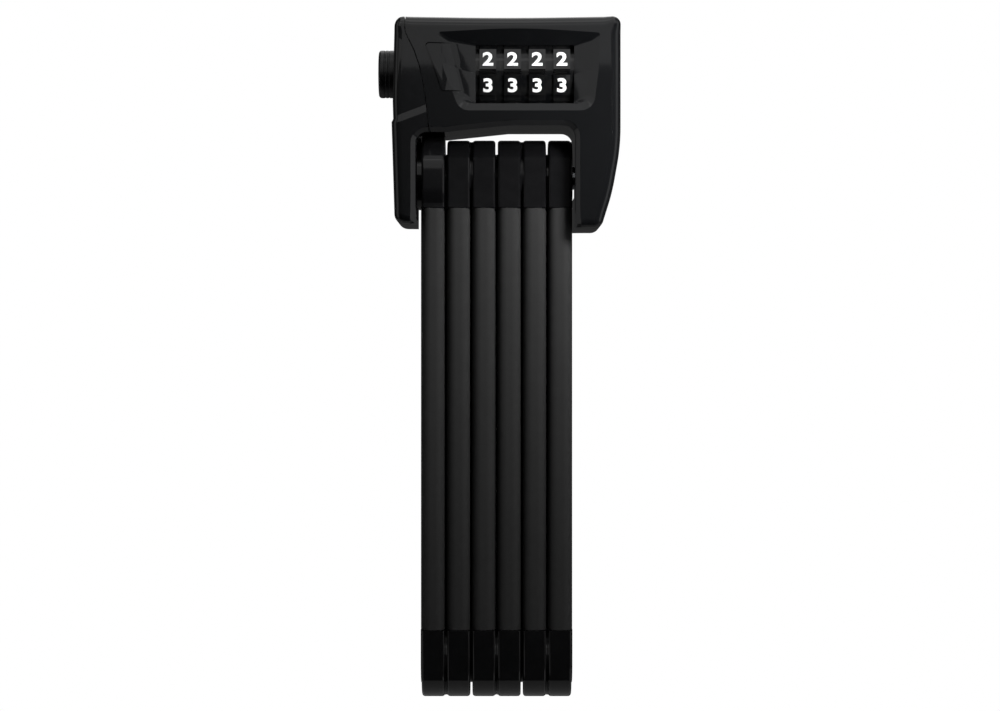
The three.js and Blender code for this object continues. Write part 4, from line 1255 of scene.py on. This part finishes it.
class LOCK_OT_inside(bpy.types.Operator):
    """Gives the steel, brass and springs inside their finishes"""

    bl_idname = "lock.inside"
    bl_label = "Finish inner pieces"

    def execute(self, context):
        finishes = {
            "lock_frame": black_steel(), "dial_barrel": brass(), "spindle": bright_steel(),
            "button_clip": spring_steel(), "button_spring": spring_steel(),
            "detent_spring": spring_steel(), "bolt_spring": spring_steel(),
            "locking_bolt": bright_steel()}
        for i in range(BAR_COUNT):
            finishes[f"bar_{i + 1}_core"] = black_steel()
        for i in range(DIAL_COUNT):
            finishes[f"code_sleeve_{i + 1}"] = brass()
        for node, material in finishes.items():
            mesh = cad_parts[node].data
            if not mesh.materials:
                mesh.materials.append(material)
            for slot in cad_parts[node].material_slots:
                slot.material = material
        return {"FINISHED"}


# ---------------------------------------------------------------------------------------------
# Stage
# ---------------------------------------------------------------------------------------------


def floor_material():
    """A pale matt floor with a faint mottle, which the camera sees evenly lit."""
    material = bpy.data.materials.new("pale floor")
    material.use_nodes = True
    tree = material.node_tree
    shader = tree.nodes["Principled BSDF"]
    shader.inputs["Roughness"].default_value = 0.8
    grains = add_node(tree, "ShaderNodeGroup", node_tree=grain_group())
    grains.inputs["Grain scale"].default_value = 60.0
    grains.inputs["Broad scale"].default_value = 3.0
    colour = mix_colour(tree, grains.outputs["Broad"], (0.78, 0.78, 0.78), (0.84, 0.84, 0.84))
    tree.links.new(colour, shader.inputs["Base Color"])
    seen = add_node(tree, "ShaderNodeEmission", {"Strength": 0.85})
    path = add_node(tree, "ShaderNodeLightPath")
    mixer = add_node(tree, "ShaderNodeMixShader")
    tree.links.new(colour, seen.inputs["Color"])
    tree.links.new(path.outputs["Is Camera Ray"], mixer.inputs[0])
    tree.links.new(shader.outputs[0], mixer.inputs[1])
    tree.links.new(seen.outputs[0], mixer.inputs[2])
    tree.links.new(mixer.outputs[0], tree.nodes["Material Output"].inputs["Surface"])
    return material


def softbox(name, place, aim, size, radiance):
    """A soft rectangular light that the camera doesn't see."""
    light = bpy.data.lights.new(name, "AREA")
    light.shape = "RECTANGLE"
    light.size, light.size_y = size
    light.energy = radiance * math.pi * size[0] * size[1]
    obj = bpy.data.objects.new(name, light)
    obj.location = place
    direction = Vector(aim) - Vector(place)
    obj.rotation_euler = direction.to_track_quat("-Z", "Y").to_euler()
    obj.visible_camera = False
    bpy.context.scene.collection.objects.link(obj)
    return obj


def dark_cards(floor_drop):
    """A black card in front of the lock and one on the floor, which only its gloss sees: they paint
    dark reflections on the lock.
    """
    bm = bmesh.new()
    for first, last, top in ((-12, 12, 0.145), (-75, -12, 0.16), (12, 75, 0.185)):
        arc = [math.radians(first + (last - first) * k / 10) for k in range(11)]
        wall = [(1.04 * math.sin(a), -1.04 * math.cos(a)) for a in arc]
        wall += [(1.03 * math.sin(a), -1.03 * math.cos(a)) for a in reversed(arc)]
        add_shape(bm, prism(wall, -floor_drop, top, along_z))
    add_shape(bm, block((-1.0, -1.0, -floor_drop + 0.002), (1.0, -0.1, -floor_drop + 0.004)))
    cards = as_object("dark_cards", bm)
    material = bpy.data.materials.new("black card")
    material.use_nodes = True
    tree = material.node_tree
    grains = add_node(tree, "ShaderNodeGroup", node_tree=grain_group())
    colour = mix_colour(tree, grains.outputs["Broad"], (0.0, 0.0, 0.0), (0.004, 0.004, 0.004))
    tree.links.new(colour, tree.nodes["Principled BSDF"].inputs["Base Color"])
    tree.nodes["Principled BSDF"].inputs["Roughness"].default_value = 1.0
    tree.nodes["Principled BSDF"].inputs["Specular IOR Level"].default_value = 0.0
    cards.data.materials.append(material)
    cards.visible_camera = False
    cards.visible_shadow = False
    cards.visible_diffuse = False


class LOCK_OT_stage(bpy.types.Operator):
    """Sets up the floor, the soft lights, the white backdrop and the camera"""

    bl_idname = "lock.stage"
    bl_label = "Set stage"

    def execute(self, context):
        settings = context.scene.lock_stage
        scene = context.scene
        scene.view_settings.view_transform = "Standard"

        bm = bmesh.new()
        bmesh.ops.create_grid(bm, x_segments=8, y_segments=8, size=2.0)
        bmesh.ops.translate(bm, vec=(0, 0, -settings.floor_drop), verts=bm.verts)
        floor = as_object("floor", bm)
        floor.data.materials.append(floor_material())
        floor.visible_glossy = False

        world = bpy.data.worlds.new("White studio")
        scene.world = world
        world.use_nodes = True
        tree = world.node_tree
        tree.nodes.clear()
        seen = add_node(tree, "ShaderNodeBackground", {"Color": (1, 1, 1, 1), "Strength": 1.0})
        lit = add_node(tree, "ShaderNodeBackground", {"Color": (1, 1, 1, 1), "Strength": 0.03})
        path = add_node(tree, "ShaderNodeLightPath")
        mixer = add_node(tree, "ShaderNodeMixShader")
        out = add_node(tree, "ShaderNodeOutputWorld")
        tree.links.new(path.outputs["Is Camera Ray"], mixer.inputs[0])
        tree.links.new(lit.outputs[0], mixer.inputs[1])
        tree.links.new(seen.outputs[0], mixer.inputs[2])
        tree.links.new(mixer.outputs[0], out.inputs["Surface"])

        glossy_only = []
        for name, angle, low in (
                ("front", 0, 0.145), ("front_left", -36, 0.16), ("front_right", 36, 0.185)):
            turn = math.radians(angle)
            middle = (low + 0.9) / 2
            place = (0.98 * math.sin(turn), -0.98 * math.cos(turn), middle)
            wide = 0.42 if angle == 0 else 0.82
            glossy_only.append(
                softbox(name + "_panel", place, (0.0, 0.0, middle), (wide, 0.9 - low), 0.4))
        glossy_only.append(
            softbox("overhead_front", (0.0, -0.6, 0.95), (0.0, 0.0, 0.0), (1.6, 0.9), 0.4))
        glossy_only.append(
            softbox("left_strip", (-0.6, -0.1, 0.1), (0.0, 0.0, 0.0), (0.3, 0.9), 0.3))
        softbox("right_strip", (0.6, -0.15, 0.1), (0.0, 0.0, 0.0), (0.3, 0.9), 0.42)
        softbox("top_panel", (0.0, 0.0, 0.7), (0.0, 0.0, 0.0), (0.7, 0.7), 0.5)
        softbox("back_panel", (0.1, 0.9, 0.8), (0.0, 0.0, 0.0), (0.8, 0.7), 0.9)
        softbox("low_glow", (0.0, 0.25, -settings.floor_drop + 0.01), (0.0, 0.25, 0.0),
                (1.4, 0.7), 0.12)
        near = softbox("near_light", (0.07, -0.09, 0.05), (0.0, 0.0, -0.02), (0.03, 0.03), 88.0)
        fill = softbox("back_fill", (-0.3, 0.8, 0.3), (0.0, 0.0, -0.03), (0.8, 0.8), 3.5)
        near.visible_glossy = False
        fill.visible_glossy = False
        for light in glossy_only:
            light.visible_diffuse = False
        # Black cards that only the lock's gloss sees paint dark reflections in front of it and below
        # it.
        dark_cards(settings.floor_drop)

        camera = bpy.data.objects.new("camera", bpy.data.cameras.new("camera"))
        camera.data.lens = settings.lens
        camera.data.sensor_width = 36.0
        camera.location = (0.001, -settings.camera_distance, -0.0366)
        camera.rotation_euler = (math.radians(90), 0, 0)
        scene.collection.objects.link(camera)
        scene.camera = camera
        return {"FINISHED"}


class LOCK_PT_panel(bpy.types.Panel):
    """Lists the steps that build the lock"""

    bl_label = "Folding Lock"
    bl_idname = "LOCK_PT_panel"
    bl_space_type = "VIEW_3D"
    bl_region_type = "UI"
    bl_category = "Folding Lock"

    def draw(self, context):
        for operator in OPERATORS:
            self.layout.operator(operator.bl_idname)
        for name in SETTINGS:
            settings = getattr(context.scene, name)
            for key in settings.bl_rna.properties.keys():
                if key not in {"rna_type", "name"}:
                    self.layout.prop(settings, key)


SETTINGS = {
    "lock_housing": LockHousingSettings,
    "lock_bars": LockBarSettings,
    "lock_dials": LockDialSettings,
    "lock_finish": LockFinishSettings,
    "lock_stage": LockStageSettings,
}
OPERATORS = (
    LOCK_OT_stage,
    LOCK_OT_housing,
    LOCK_OT_screws,
    LOCK_OT_sleeves,
    LOCK_OT_bar_ends,
    LOCK_OT_rivets,
    LOCK_OT_dials,
    LOCK_OT_button,
    LOCK_OT_inside,
)


def register():
    for name, settings in SETTINGS.items():
        bpy.utils.register_class(settings)
        setattr(bpy.types.Scene, name, bpy.props.PointerProperty(type=settings))
    for operator in OPERATORS:
        bpy.utils.register_class(operator)
    bpy.utils.register_class(LOCK_PT_panel)


def unregister():
    bpy.utils.unregister_class(LOCK_PT_panel)
    for operator in reversed(OPERATORS):
        bpy.utils.unregister_class(operator)
    for name, settings in reversed(SETTINGS.items()):
        delattr(bpy.types.Scene, name)
        bpy.utils.unregister_class(settings)


def main():
    register()
    bpy.ops.lock.stage()
    bpy.ops.lock.housing()
    bpy.ops.lock.screws()
    bpy.ops.lock.sleeves()
    bpy.ops.lock.bar_ends()
    bpy.ops.lock.rivets()
    bpy.ops.lock.dials()
    bpy.ops.lock.button()
    bpy.ops.lock.inside()


if __name__ == "__main__":
    main()
